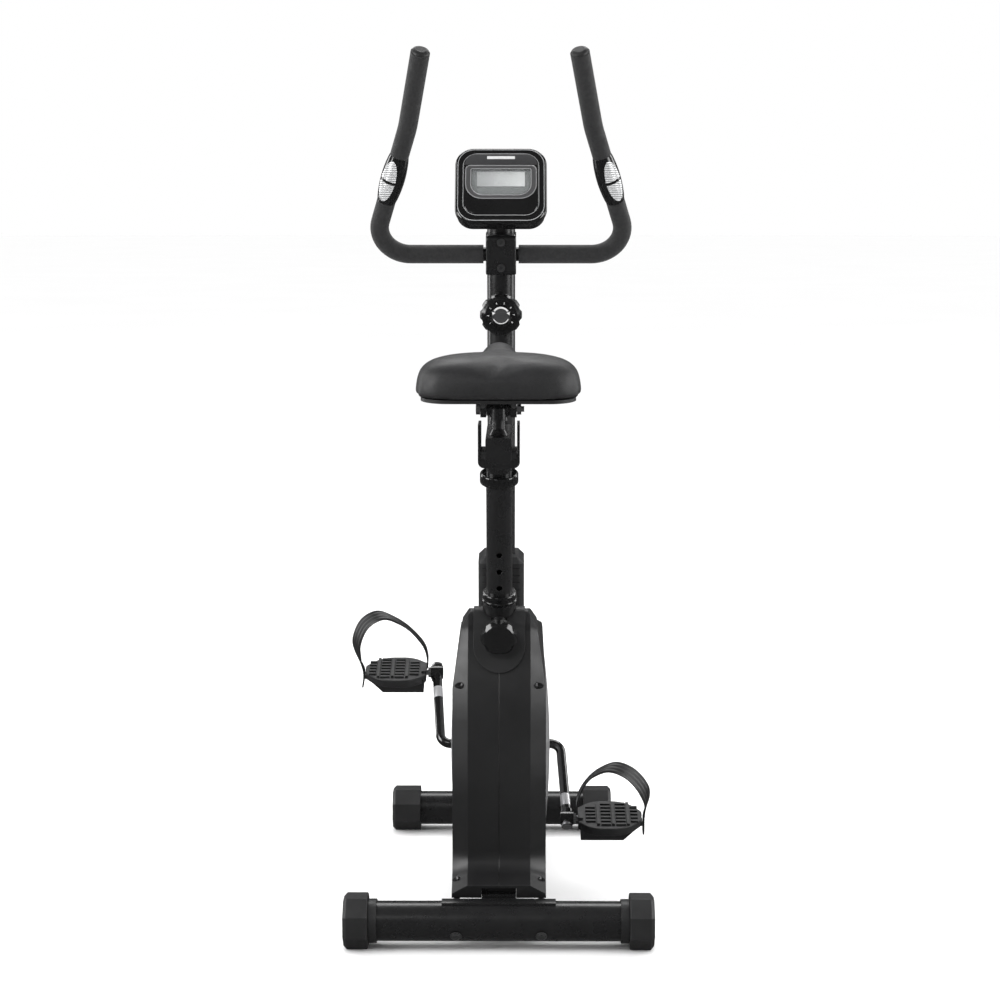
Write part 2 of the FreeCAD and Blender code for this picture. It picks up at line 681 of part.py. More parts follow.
# Corners of the shell seen from the side, as (y, z, corner radius).
SHELL_OUTLINE = (
    (12, 69, 0), (10, 88, 0), (50, 108, 30), (41, 232, 300), (58, 372, 300), (96, 454, 30),
    (124, 478, 20), (172, 470, 26), (236, 410, 70), (320, 388, 120), (420, 384, 120),
    (500, 383, 90), (560, 391, 24), (594, 340, 100), (612, 240, 200),
    (606, 120, 60), (588, 60, 0), (70, 60, 0), (56, 69, 0),
)


def outline_wire():
    """The shell's side outline as a wire in the plane x = 0."""
    points = [Vector(0, y, z) for y, z, radius in SHELL_OUTLINE]
    radii = [radius for y, z, radius in SHELL_OUTLINE]
    count = len(points)
    ends = []
    for index, corner in enumerate(points):
        to_before = (points[index - 1] - corner).normalize()
        to_after = (points[(index + 1) % count] - corner).normalize()
        half_turn = to_before.getAngle(to_after) / 2
        reach = radii[index] / math.tan(half_turn)
        bisector = (to_before + to_after).normalize()
        middle = corner + bisector * (radii[index] / math.sin(half_turn) - radii[index])
        ends.append((corner + to_before * reach, middle, corner + to_after * reach))
    edges = []
    for index in range(count):
        enter, middle, leave = ends[index]
        if radii[index]:
            edges.append(Part.Arc(enter, middle, leave).toShape())
        edges.append(Part.LineSegment(leave, ends[(index + 1) % count][0]).toShape())
    return Part.Wire(edges)


def space_beyond(top, foot, depth, inset):
    """The space outside a sloping line from top to foot, given as (x, z), moved in by the inset."""
    down = Vector(foot[0] - top[0], 0, foot[1] - top[1]).normalize()
    out = Vector(-down.z, 0, down.x)
    start = Vector(top[0], -20, top[1]) - out * inset
    corners = [start - down * 20, start + down * 120, start + down * 120 + out * 60,
               start - down * 20 + out * 60]
    return Part.Face(Part.makePolygon(corners + corners[:1])).extrude(Vector(0, depth, 0))


def roof_space(inset):
    """The space outside the sloping shoulders: a short steep one and a long one below it."""
    return space_beyond((40, 480), (61, 446), 260, inset).fuse(
        space_beyond((57, 447), (69, 368), 700, inset))


def shell_half(side, label):
    """One moulded half: flat band, bevel and side wall, open at the bottom and the joint."""
    body = new_body(label.title().replace("_", ""))
    corners = [(y, z) for y, z, radius in SHELL_OUTLINE]
    radii = [radius for y, z, radius in SHELL_OUTLINE]
    sketch = sketch_outline(body, label + "_outline", "YZ_Plane", corners, radii)
    block = pad(body, sketch, "shell_half_width")
    edge_x = size("shell_half_width")
    dress(body, "PartDesign::Chamfer", block,
          lambda middle: middle.x > edge_x - 0.1 and middle.z > 89,
          ChamferType="Two distances", Size=edge_x - size("band_half_width"),
          Size2=size("bevel"))
    wall = size("shell_wall")
    wire = outline_wire()
    shallow = Part.Face(wire.makeOffset2D(-wall)).extrude(Vector(size("band_half_width") - 1, 0, 0))
    deep = Part.Face(wire.makeOffset2D(-wall - size("bevel"))).extrude(Vector(edge_x - wall, 0, 0))
    inner_roof = roof_space(wall)
    tools = [
        made(shallow.cut(inner_roof), "Inside"), made(deep.cut(inner_roof), "Inside"),
        made(roof_space(0), "Roof"),
        box(40, 536, 40, -1, 52, 40), box(26.4, 44, 24, -1, 8, 60), box(27, 90, 44, -1, 560, 50),
        seat_axis_rod("seat_tube_dia / 2 + 0.4", -20, 140),
        mast_axis_rod("socket_dia / 2 + 0.5", 250, 450),
        rod(21, 90, -1, "crank_y", "crank_z", ALONG_X),
        across_seat_tube(13, 0, 90),
    ]
    tools.extend(screw_holes())
    half = cut(body, *tools)
    if side < 0:
        half = mirror(half)
    subpart(half, label)


# Screws that join the halves, as (y, z, x of the seat under the head).
SCREWS = ((68, 373, 54), (34, 91, 60), (560, 150, 64), (548, 350, 64))


def screw_holes():
    holes = [rod(4.6, 40, x, y, z, ALONG_X) for y, z, x in SCREWS]
    holes.extend(rod(2.1, 60, 10, y, z, ALONG_X) for y, z, x in SCREWS)
    return holes


def shell_screws():
    pieces = []
    for y, z, x in SCREWS:
        head = cone(4.4, 3.6, 2.4, x + 0.1, y, z, ALONG_X)
        cross = box(1.2, 5, 1.2, x + 1.6, y - 2.5, z - 0.6)
        shank = rod(2, 22, x - 21.5, y, z, ALONG_X)
        screw = cut(fuse(head, shank), cross)
        pieces.extend((screw, mirror(screw)))
    subpart(group(*pieces), "shell_screws")


def seat_tube_cover():
    """U-shaped skin over the top of the shell, round the seat tube and its pull pin."""
    wire = outline_wire()
    outer = Part.Face(wire.makeOffset2D(3.4)).extrude(Vector(84, 0, 0))
    outer.translate(Vector(-42, 0, 0))
    inner = Part.Face(wire.makeOffset2D(0.1)).extrude(Vector(90, 0, 0))
    inner.translate(Vector(-45, 0, 0))
    tongue = fuse(rod(38, 200, 0, 160, 430.5, TOWARDS_RIDER), slab(38, 190, 72.5, -30, 430.5))
    limit = box(90, 152, 150, -45, 0, 385)
    skin = cut(common(made(outer, "Skin"), tongue, limit), made(inner, "Under"),
               seat_axis_rod("seat_tube_dia / 2 + 0.4", -20, 140), across_seat_tube(13, 0, 90))
    subpart(skin, "seat_tube_cover")


def neck_cover():
    """Ribbed cover where the mast leaves the shell."""
    block = slab(37.5, 84, 122, -42, 296)
    soft = round_edges(block, 13, lambda middle: abs(middle.x) > 37 and abs(middle.y) > 40)
    top = round_edges(soft, 9, lambda middle: middle.z > 417.9, "Part::Chamfer")
    space = slab(34.5, 78, 112, -39, 290)
    hollow = round_edges(space, 10, lambda middle: abs(middle.x) > 34 and abs(middle.y) > 37)
    mast = rod("mast_dia / 2 + 0.3", 300, 0, 0, 200)
    ribs = [slab(40, 3, 1.6, -43.4, z) for z in (340, 352, 364, 376, 388, 400)]
    shell_space = Part.Face(outline_wire().makeOffset2D(0.3)).extrude(Vector(160, 0, 0))
    shell_space.translate(Vector(-80, 0, 0))
    shell_space.Placement = MAST.inverse().multiply(BIKE).multiply(shell_space.Placement)
    subpart(cut(top, hollow, mast, made(shell_space, "ShellSpace"), *ribs), "neck_cover", MAST)


def disc_covers():
    """Shallow silver domes on both sides, round the crank."""
    radius = size("disc_dia") / 2
    rise = size("disc_rise")
    ball_radius = (radius * radius + rise * rise) / (2 * rise)
    ball = Part.makeSphere(ball_radius)
    ball.translate(Vector(size("shell_half_width") + 0.1 + rise - ball_radius, size("crank_y"),
                          size("crank_z")))
    inner_ball = Part.makeSphere(ball_radius)
    inner_ball.translate(Vector(size("shell_half_width") + rise - 2.9 - ball_radius,
                                size("crank_y"), size("crank_z")))
    keep = rod("disc_dia / 2 - 0.5", 40, "shell_half_width + 0.1", "crank_y", "crank_z", ALONG_X)
    hole = rod(14, 60, 50, "crank_y", "crank_z", ALONG_X)
    dome = cut(common(made(ball, "Dome"), keep), made(inner_ball, "DomeInside"), hole)
    subpart(group(dome, mirror(dome)), "disc_covers")


# --- crank, drive and brake --------------------------------------------------------------------

def crank():
    """One bent bar: left arm, axle and right arm, with an eye at each pedal."""
    bend = size("crank_bend_x")
    eye = size("crank_eye_x")
    length = size("crank_length")
    wire = tube_path([Vector(-eye, 0, length), Vector(-bend, 0, 0), Vector(bend, 0, 0),
                      Vector(eye, 0, -length)], (17, 17))
    bar = made(swept(wire, size("crank_rod_dia") / 2), "CrankBar")
    eyes = [rod(10.5, 20, "-1 * crank_eye_x - 10", 0, "crank_length", ALONG_X),
            rod(10.5, 20, "crank_eye_x - 10", 0, "-1 * crank_length", ALONG_X),
            rod(8.5, 30, "-1 * crank_eye_x", 0, "crank_length - 15"),
            rod(8.5, 30, "crank_eye_x", 0, "-1 * crank_length - 15")]
    holes = [rod(5.9, 30, "-1 * crank_eye_x - 15", 0, "crank_length", ALONG_X),
             rod(5.9, 30, "crank_eye_x - 15", 0, "-1 * crank_length", ALONG_X)]
    subpart(cut(fuse(bar, *eyes), *holes), "crank", CRANK)


def crank_nuts():
    """Lock nuts on the axle, outside the bearings."""
    pieces = []
    for start in (-34, 24.6):
        nut = prism(6, 14, 2.2 if start > 0 else 6, start, 0, 0, ALONG_X)
        bore = rod("crank_rod_dia / 2 + 0.02", 30, start - 10, 0, 0, ALONG_X)
        pieces.append(cut(nut, bore))
    subpart(group(*pieces), "crank_nuts", CRANK)


def crank_bearings():
    pieces = []
    for start in (-23.9, 11.9):
        outer = rod(14.45, 12, start, 0, 0, ALONG_X)
        bore = rod("crank_rod_dia / 2 + 0.05", 20, start - 4, 0, 0, ALONG_X)
        groove = ring(start + (0 if start < 0 else 12), 0, 0, 11, 1.6, ALONG_X)
        pieces.append(cut(outer, bore, groove))
    subpart(group(*pieces), "crank_bearings", CRANK)


def drive_pulley():
    radius = size("drive_dia") / 2
    half = size("belt_width") / 2 + 2
    profile = [(size("crank_rod_dia") / 2 + 0.02, -3), (radius - 12, -3), (radius - 10, -half),
               (radius + 2, -half), (radius + 2, -half + 1.6), (radius, -half + 2),
               (radius, half - 2), (radius + 2, half - 1.6), (radius + 2, half),
               (radius - 10, half), (radius - 12, 3), (size("crank_rod_dia") / 2 + 0.02, 3)]
    body = revolved("DrivePulley", profile)
    wheel = turned_bar(body, ALONG_X)
    holes = []
    for step in range(5):
        angle = math.radians(72 * step)
        holes.append(rod(15, 30, -15, 46 * math.cos(angle), 46 * math.sin(angle), ALONG_X))
    where = layout(size("crank_y"), size("crank_z"), 0, size("belt_x"))
    subpart(cut(wheel, *holes), "drive_pulley", where)


def flywheel():
    """Heavy rim with its small belt pulley on the same hub."""
    rim = size("fly_dia") / 2
    left = size("fly_x")
    right = left + size("fly_width")
    bore = size("axle_dia") / 2 + 0.05
    pulley = size("fly_pulley_dia") / 2
    belt = size("belt_x")
    half = size("belt_width") / 2
    profile = [(bore, left), (17, left), (17, left + 5), (rim - 16, left + 5), (rim - 16, left),
               (rim - 1, left), (rim, left + 1), (rim, right - 1), (rim - 1, right),
               (rim - 16, right), (rim - 16, left + 14), (17, left + 14), (17, belt - half - 2),
               (pulley + 2, belt - half - 2), (pulley + 2, belt - half - 0.6),
               (pulley, belt - half - 0.2), (pulley, belt + half + 0.2),
               (pulley + 2, belt + half + 0.6), (pulley + 2, belt + half + 2),
               (bore, belt + half + 2)]
    body = revolved("Flywheel", profile)
    wheel = turned_bar(body, ALONG_X)
    subpart(wheel, "flywheel", layout_turned(size("fly_y"), size("fly_z"), 0))


def layout_turned(y, z, x):
    """The Placement of a body whose own Z axis has to lie along the bike's X axis."""
    return Placement(Vector(x, y - size("origin_y"), z), ALONG_X)


def flywheel_axle():
    pin = rod("axle_dia / 2", 92, -39, 0, 0, ALONG_X)
    nuts = [prism(6, 9.5, 6, -40.2, 0, 0, ALONG_X), prism(6, 9.5, 6, 48.2, 0, 0, ALONG_X)]
    subpart(fuse(pin, *nuts), "flywheel_axle", layout(size("fly_y"), size("fly_z")))


def drive_belt():
    """Flat belt round both pulleys, tangent to each."""
    large = size("drive_dia") / 2 + 0.3
    small = size("fly_pulley_dia") / 2 + 0.3
    thick = size("belt_thick")
    loop = belt_face(large + thick, small + thick).cut(belt_face(large, small))
    solid = loop.extrude(Vector(size("belt_width"), 0, 0))
    solid.translate(Vector(size("belt_x") - size("belt_width") / 2, 0, 0))
    subpart(made(solid, "Belt"), "drive_belt")


def belt_face(large, small):
    """The face inside a loop round two circles at the crank and the flywheel."""
    first = Vector(0, size("crank_y"), size("crank_z"))
    second = Vector(0, size("fly_y"), size("fly_z"))
    line = second - first
    bearing = math.atan2(line.z, line.y)
    spread = math.acos((large - small) / line.Length)

    def spot(centre, radius, angle):
        return centre + Vector(0, radius * math.cos(angle), radius * math.sin(angle))
    high = bearing + spread
    low = bearing - spread
    edges = [
        Part.Arc(spot(first, large, high), spot(first, large, bearing + math.pi),
                 spot(first, large, low)).toShape(),
        Part.LineSegment(spot(first, large, low), spot(second, small, low)).toShape(),
        Part.Arc(spot(second, small, low), spot(second, small, bearing),
                 spot(second, small, high)).toShape(),
        Part.LineSegment(spot(second, small, high), spot(first, large, high)).toShape(),
    ]
    return Part.Face(Part.Wire(edges))


def idler_pulley():
    """Tensioner under the lower run of the belt."""
    body = revolved("Idler", [(4.06, -5), (17, -5), (17, -4.4), (16, -4.2), (16, 4.2), (17, 4.4),
                              (17, 5), (4.06, 5)])
    wheel = turned_bar(body, ALONG_X)
    subpart(wheel, "idler_pulley", layout_turned(IDLER_Y, IDLER_Z, size("belt_x")))


def brake_arc(inner, outer, first, last, width, x):
    """A block of arc over the flywheel, between two angles from the front."""
    ring_face = Part.makeCylinder(outer, width, Vector(x, size("fly_y"), size("fly_z")),
                                  Vector(1, 0, 0))
    hollow = Part.makeCylinder(inner, width, Vector(x, size("fly_y"), size("fly_z")),
                               Vector(1, 0, 0))
    reach = outer * 1.6
    centre = Vector(x, size("fly_y"), size("fly_z"))
    corners = [centre]
    steps = 4
    for step in range(steps + 1):
        angle = math.radians(first + (last - first) * step / steps)
        corners.append(centre + Vector(0, reach * math.cos(angle), reach * math.sin(angle)))
    corners.append(centre)
    wedge = Part.Face(Part.makePolygon(corners)).extrude(Vector(width, 0, 0))
    return ring_face.cut(hollow).common(wedge)


def magnet_bracket():
    """Arm over the flywheel that carries the brake magnets and turns on a pivot behind it."""
    arc = made(brake_arc(84.3, 88, 48, 128, 22, -28), "BrakeArc")
    ear = box(6, 16, 12, -28, "arm_pivot_y - 4", "arm_pivot_z - 26")
    boss = rod(9, 6, -28, "arm_pivot_y", "arm_pivot_z", ALONG_X)
    strip = box(6, 14, 24, -28, "arm_pivot_y - 4", "arm_pivot_z - 20")
    hole = rod(4.05, 40, -34, "arm_pivot_y", "arm_pivot_z", ALONG_X)
    subpart(cut(fuse(arc, ear, boss, strip), hole), "magnet_bracket")


def magnets():
    pieces = [made(brake_arc(79, 84.3, start, start + 15, 20, -27), "Magnet")
              for start in (52, 72, 92, 112)]
    subpart(group(*pieces), "magnets")


# --- pedals ------------------------------------------------------------------------------------

def pedal_spindles():
    """Steel spindles screwed into the crank eyes, with a flange outside each eye."""
    shaft = rod(5.85, 20, "crank_eye_x - 9", 0, 0, ALONG_X)
    flange = prism(6, 9, 4, "crank_eye_x + 10.2", 0, 0, ALONG_X)
    pin = rod(4.5, 100, "crank_eye_x + 11", 0, 0, ALONG_X)
    return fuse(shaft, flange, pin)


def spindles():
    pieces = []
    for side, where in ((-1, LEFT_PEDAL), (1, RIGHT_PEDAL)):
        piece = pedal_spindles()
        if side < 0:
            piece = mirror(piece)
        holder = doc.addObject("Part::Compound", "Holder")
        holder.Links = [piece]
        holder.Placement = BIKE.inverse().multiply(where)
        pieces.append(holder)
    subpart(group(*pieces), "pedal_spindles")


def pedal(side, label, where):
    """Oval tread with ridges over a deep body that hangs level under the foot."""
    body = new_body(label.title().replace("_", ""))
    start = size("pedal_inner_x")
    end = start + size("pedal_width")
    half = size("pedal_depth") / 2
    corners = [(start, -24), (start + 22, -half), (end - 24, -half), (end, -13), (end, 13),
               (end - 24, half), (start + 22, half), (start, 24)]
    sketch = sketch_outline(body, label + "_tread", "XY_Plane", corners,
                            [8, 40, 46, 12, 12, 46, 40, 8])
    plate = pad(body, sketch, 13, midplane=True)
    dress(body, "PartDesign::Fillet", plate, lambda middle: abs(middle.z) > 6.4, Radius=2)
    block = box("pedal_width - 16", 60, 23, "pedal_inner_x + 4", -30, -22)
    outer_x = start + size("pedal_width") - 12
    weight = round_edges(block, 17, lambda middle: middle.z < -21.9 and middle.x > outer_x - 1,
                         "Part::Chamfer")
    lugs = [box(8, 34, 9, "pedal_inner_x - 0.2", -17, 1),
            box(8.6, 34, 7, "pedal_inner_x + pedal_width - 8", -17, -4)]
    bore = rod(4.56, 110, "pedal_inner_x - 6", 0, 0, ALONG_X)
    whole = cut(fuse(body, weight, *lugs, *tread_bars(start)), bore)
    subpart(whole if side > 0 else mirror(whole), label, where)


def tread_bars(start):
    """Three ribs across the foot's way and rows of short bars between them."""
    bars = [box(4.5, 70, 4, start + x, -35, 6) for x in (29, 52, 75)]
    for x, length, rows in ((12, 15, 5), (35.5, 15, 7), (58.5, 15, 7), (81.5, 11, 5)):
        for row in range(rows):
            bars.append(box(length, 5, 3.2, start + x, 11 * (row - (rows - 1) / 2) - 2.5, 6))
    return bars


# Outside of each strap from the inner lug over the foot to its tail, as (x, z) of the pedal.
STRAP_LINES = {
    "left_pedal_strap": ((117.8, 11), (117.8, 30), (125, 52), (146, 78), (170, 94), (196, 102),
                         (221, 87), (235, 55), (232, 26), (224.4, 4), (224.2, -12), (226, -24)),
    "right_pedal_strap": ((117.8, 11), (118, 28), (123, 48), (135, 68), (151, 82), (174, 90),
                          (200, 80), (220, 58), (229, 33), (224.8, 5), (224.2, -12), (224, -24)),
}


def strap_curve(label, inset):
    """One face of the strap, moved towards the foot by the inset."""
    foot = Vector(171, 0, 30)
    points = []
    for x, z in STRAP_LINES[label]:
        outside = Vector(x, 0, z)
        points.append(outside + (foot - outside).normalize() * inset)
    curve = Part.BSplineCurve()
    curve.interpolate(points)
    return curve


def pedal_strap(side, label, where):
    """Broad band over the foot, a plain closed solid of the right size."""
    outer = strap_curve(label, 0)
    inner = strap_curve(label, size("strap_thick"))
    ends = [(outer.StartPoint, inner.StartPoint), (outer.EndPoint, inner.EndPoint)]
    edges = [outer.toShape(), Part.LineSegment(*ends[0]).toShape(), inner.toShape(),
             Part.LineSegment(*ends[1]).toShape()]
    face = Part.Face(Part.Wire(Part.sortEdges(edges)[0]))
    band = face.extrude(Vector(0, size("strap_width"), 0))
    band.translate(Vector(0, -size("strap_width") / 2, 0))
    piece = made(band, "Strap")
    if side < 0:
        piece = mirror(piece)
    subpart(piece, label, where)


# --- seat post, slider and saddle ----------------------------------------------------------------

def seat_post():
    """Post with pin holes and, on top, the ribbed neck and U bracket of the slider."""
    tube = seat_axis_rod("post_dia / 2", -206, 396)
    neck = [seat_axis_rod(21, -221, 20)]
    for step in range(3):
        neck.append(seat_axis_rod(22.5, -208 - 5 * step, 3))
    plain = slab(30, 75, 12, 20, 700)
    web = round_edges(plain, 9, lambda middle: middle.z < 700.1 and abs(middle.x) > 29.9)
    sides = [box(4, 75, 53, 26, 20, 709), box(4, 75, 53, -30, 20, 709)]
    inner = seat_axis_rod("post_dia / 2 - tube_wall", -190, 400)
    slider_way = slab(25.98, 200, 60, -20, 712)
    holes = [inner, slider_way]
    lean = math.radians(size("seat_lean"))
    for step in range(-4, 5):
        along = size("pin_depth") + size("hole_step") * step
        y = size("seat_top_y") + along * math.sin(lean)
        z = size("seat_top_z") - along * math.cos(lean)
        turn = Rotation(Vector(1, 0, 0), 90 + size("seat_lean"))
        holes.append(rod("pin_dia / 2 + 0.2", 40, 0, y, z, turn))
    solid = cut(fuse(tube, *neck, web), *holes)
    whole = fuse(solid, *sides)
    soft = round_edges(whole, 8, lambda middle: middle.z > 755 and abs(middle.y - 57) > 37)
    subpart(soft, "seat_post")


def slider_guides():
    """Plastic channel between the bracket and the slider."""
    block = slab(25.9, 74, 11.5, 20.5, 712.1)
    way = slab("slider_side / 2 + 0.06", 100, 30, 0, "slider_bottom - 0.06")
    subpart(cut(block, way), "slider_guides")


def post_ring():
    """Lock ring under the bracket, turning on the post."""
    outer = rod("ring_dia / 2", "ring_height", 0, 0, "ring_at")
    soft = round_edges(outer, 3, lambda middle: middle.z > size("ring_at") + size("ring_height") - 0.1
                       or middle.z < size("ring_at") + 0.1)
    bore = rod("post_dia / 2 + 0.06", 60, 0, 0, "ring_at - 10")
    grips = []
    for step in range(24):
        angle = math.radians(15 * step)
        reach = size("ring_dia") / 2 + 0.6
        grips.append(rod(1.3, 14, reach * math.cos(angle), reach * math.sin(angle), "ring_at + 4"))
    subpart(cut(soft, bore, *grips), "post_ring", SEAT)


def slider_tube():
    """Square fore-and-aft tube with end plugs and the upright pin for the saddle."""
    length = "slider_front_y - slider_rear_y"
    outer = slab("slider_side / 2", length, "slider_side", "slider_rear_y", "slider_bottom")
    soft = round_edges(outer, 3, lambda middle: abs(abs(middle.x) - 18) < 0.1 and
                       abs(middle.y - 25) < 5)
    inner = slab("slider_side / 2 - 2", "%s - 8" % length, "slider_side - 4", "slider_rear_y + 4",
                 "slider_bottom + 2")
    tube = cut(soft, inner)
    foot = cone(14, 9.5, 9, 0, "saddle_pin_y", "slider_bottom + slider_side - 0.5")
    pin = rod("saddle_pin_dia / 2", 30, 0, "saddle_pin_y", "slider_bottom + slider_side")
    subpart(fuse(tube, foot, pin), "slider_tube")


SADDLE_Z = 780.5
# The saddle's plan is drawn level and turned up at the nose about its rear lower edge.
SADDLE = layout(size("saddle_rear_y"), size("saddle_bottom"), size("saddle_rise")).multiply(
    Placement(Vector(0, -size("saddle_rear_y"), 0), Rotation()))
PAN_DROP = 5.2


def saddle_clamp():
    """Sleeve on the upright pin with the cross barrel that the saddle tilts on."""
    y = "saddle_pin_y"
    sleeve = rod(13, 17, 0, y, SADDLE_Z - 7)
    barrel = rod(9.5, 34, -17, y, SADDLE_Z + 9, ALONG_X)
    bore = rod("saddle_pin_dia / 2 + 0.04", 20, 0, y, SADDLE_Z - 17)
    bolt = rod(4.1, 90, -45, y, SADDLE_Z + 9, ALONG_X)
    subpart(cut(fuse(sleeve, barrel), bore, bolt), "saddle_clamp")


def saddle_jaws():
    """Serrated jaws at both ends of the barrel, which grip the saddle's wires."""
    pieces = []
    for x in (-25.5, 17.3):
        plate = rod(12, 8.2, x, "saddle_pin_y", SADDLE_Z + 9, ALONG_X)
        grip = box(8.2, 24, 12, x, "saddle_pin_y - 12", SADDLE_Z + 9)
        bolt = rod(4.04, 20, x - 5, "saddle_pin_y", SADDLE_Z + 9, ALONG_X)
        wire = rod(3.54, 60, 21.5 if x > 0 else -21.5, "saddle_pin_y - 30", SADDLE_Z + 17, FORWARD)
        pieces.append(cut(fuse(plate, grip), bolt, wire))
    subpart(group(*pieces), "saddle_jaws")


def saddle_clamp_bolt():
    y = "saddle_pin_y"
    z = SADDLE_Z + 9
    shank = rod(4, 68, -32, y, z, ALONG_X)
    nuts = [prism(6, 8, 6, -31.8, y, z, ALONG_X), prism(6, 8, 6, 25.8, y, z, ALONG_X)]
    subpart(fuse(shank, *nuts), "saddle_clamp_bolt")


def under_pan(y):
    """Height of the pan's underside in the bike's layout."""
    run = y - size("saddle_rear_y")
    return size("saddle_bottom") - PAN_DROP + run * math.tan(math.radians(size("saddle_rise")))


def saddle_rails():
    """Two bent wires under the saddle pan."""
    z = SADDLE_Z + 17
    points = [Vector(21.5, -88, under_pan(-88) - 3.8), Vector(21.5, -66, z), Vector(21.5, 30, z),
              Vector(21.5, 74, under_pan(74) - 3.8)]
    wire = tube_path(points, (14, 30))
    rail = made(swept(wire, 3.5), "Rail")
    subpart(group(rail, mirror(rail)), "saddle_rails")


def saddle_outline(body, name, inset):
    """Plan of the saddle: broad at the back, narrow at the nose."""
    wide = size("saddle_width") / 2 - inset
    rear = size("saddle_rear_y") + inset
    nose = size("saddle_nose_y") - inset
    corners = [(-wide, rear), (wide, rear), (wide, rear + 96), (44 - inset, 34), (34 - inset, nose),
               (-34 + inset, nose), (-44 + inset, 34), (-wide, rear + 96)]
    radii = [46 - inset, 46 - inset, 46, 60, 26 - inset / 2, 26 - inset / 2, 60, 46]
    return sketch_outline(body, name, "XY_Plane", corners, radii)


def saddle_base():
    body = new_body("SaddlePan")
    pad(body, saddle_outline(body, "PanPlan", 8), 5)
    subpart(body, "saddle_base", SADDLE.multiply(Placement(Vector(0, 0, -PAN_DROP), Rotation())))


def saddle_cushion():
    """Padded top, a plain closed solid of the right size."""
    body = new_body("SaddlePad")
    block = pad(body, saddle_outline(body, "PadPlan", 0), "saddle_height")
    top = size("saddle_height")
    dress(body, "PartDesign::Fillet", block, lambda middle: middle.z > top - 0.1, Radius=20)
    subpart(body, "saddle_cushion", SADDLE)


# --- seat pin ------------------------------------------------------------------------------------

def pin_frame():
    """Layout of the pull pin: +Z points out of the back of the seat tube."""
    return SEAT.multiply(Placement(Vector(0, 0, -size("pin_depth")), TOWARDS_RIDER))


def seat_pin():
    """Pull pin; its tip waits just outside the post."""
    tip = cone(3, 4, 1.5, 0, 0, "post_dia / 2 + 0.25")
    shaft = rod("pin_dia / 2", "seat_knob_at + 3.5 - post_dia / 2", 0, 0, "post_dia / 2 + 1.75")
    subpart(fuse(tip, shaft), "seat_pin", pin_frame())


def seat_knob():
    """Six-lobed pull knob with a domed end."""
    radius = size("seat_knob_dia") / 2
    back = size("seat_knob_at")
    corners = [(0, back - 12), (11, back - 12), (14, back), (radius - 4, back + 2),
               (radius, back + 6), (radius, back + 15), (radius - 5, back + 21),
               (radius - 14, back + 24), (0, back + 25)]
    body = revolved("PullKnob", corners)
    scallops = []
    for step in range(6):
        angle = math.radians(60 * step + 30)
        reach = radius + 10
        scallops.append(rod(13, 60, reach * math.cos(angle), reach * math.sin(angle), back - 10))
    bore = rod(4.02, 20, 0, 0, back - 14)
    subpart(cut(body, bore, *scallops), "seat_knob", pin_frame())


# --- handlebar -----------------------------------------------------------------------------------

def bar_points(side):
    """Corner points of one half of the bar, from the middle to the tip, in the bike's layout."""
    middle = BIKE.inverse().multVec(MAST.multVec(Vector(0, -size("bar_behind"), size("bar_at"))))
    return [middle,
            Vector(side * size("corner_x"), middle.y, middle.z),
            Vector(side * size("kink_x"), size("kink_y"), size("kink_z")),
            Vector(side * size("tip_x"), size("tip_y"), size("tip_z"))]


def handlebar_tube():
    left = bar_points(-1)
    right = bar_points(1)
    corner = size("corner_radius")
    points = [left[3], left[2], left[1], right[1], right[2], right[3]]
    wire = tube_path(points, (150, corner, corner, 150))
    bar = swept(wire, size("bar_dia") / 2, size("bar_dia") / 2 - 1.6)
    subpart(made(bar, "Bar"), "handlebar_tube")


def sensor_span(side):
    """Start and end of the pulse sensor along the straight part of one arm."""
    points = bar_points(side)
    along = (points[2] - points[1]).normalize()
    start = points[1] + along * size("sensor_from")
    return start, start + along * size("sensor_length"), along


def handlebar_foam():
    """Foam sleeves: clamp to sensor, and sensor to tip, on each side."""
    pieces = []
    outer = size("foam_dia") / 2
    inner = size("bar_dia") / 2 + 0.05
    for side in (-1, 1):
        points = bar_points(side)
        start, end, along = sensor_span(side)
        first = Vector(side * size("foam_from_x"), points[0].y, points[0].z)
        low = swept(tube_path([first, points[1], start], (size("corner_radius"),)), outer, inner)
        high = swept(tube_path([end, points[2], points[3]], (150,)), outer, inner)
        pieces.append(made(low, "Foam"))
        pieces.append(made(high, "Foam"))
    subpart(group(*pieces), "handlebar_foam")


def grip_end_plugs():
    """Domed plugs in the tips of the bar."""
    pieces = []
    for side in (-1, 1):
        points = bar_points(side)
        along = (points[3] - points[2]).normalize()
        stem = Part.makeCylinder(size("bar_dia") / 2 - 1.65, 14, points[3] - along * 13.9, along)
        cap = Part.makeCone(13.8, 12.6, 3, points[3] + along * 0.1, along)
        dome = Part.makeCone(12.6, 8.5, 2.4, points[3] + along * 3.1, along)
        pieces.append(made(stem.fuse([cap, dome]).removeSplitter(), "Plug"))
    subpart(group(*pieces), "grip_end_plugs")


def sensor_profile(extra):
    """Corners (radius, height) of the swelling round the arm, thicker by extra."""
    length = size("sensor_length") - 0.6
    rest = size("foam_dia") / 2
    swell = 4.2
    corners = [(size("bar_dia") / 2 + 0.05, 0.3)]
    steps = 12
    for step in range(steps + 1):
        share = step / steps
        bulge = swell * math.sin(math.pi * share) ** 0.8 if 0 < step < steps else 0
        corners.append((rest + bulge + extra, 0.3 + length * share))
    corners.append((size("bar_dia") / 2 + 0.05, 0.3 + length))
    return corners


def sensor_solid(extra):
    corners = [Vector(radius, 0, height) for radius, height in sensor_profile(extra)]
    face = Part.Face(Part.makePolygon(corners + [corners[0]]))
    return face.revolve(Vector(0, 0, 0), Vector(0, 0, 1), 360)


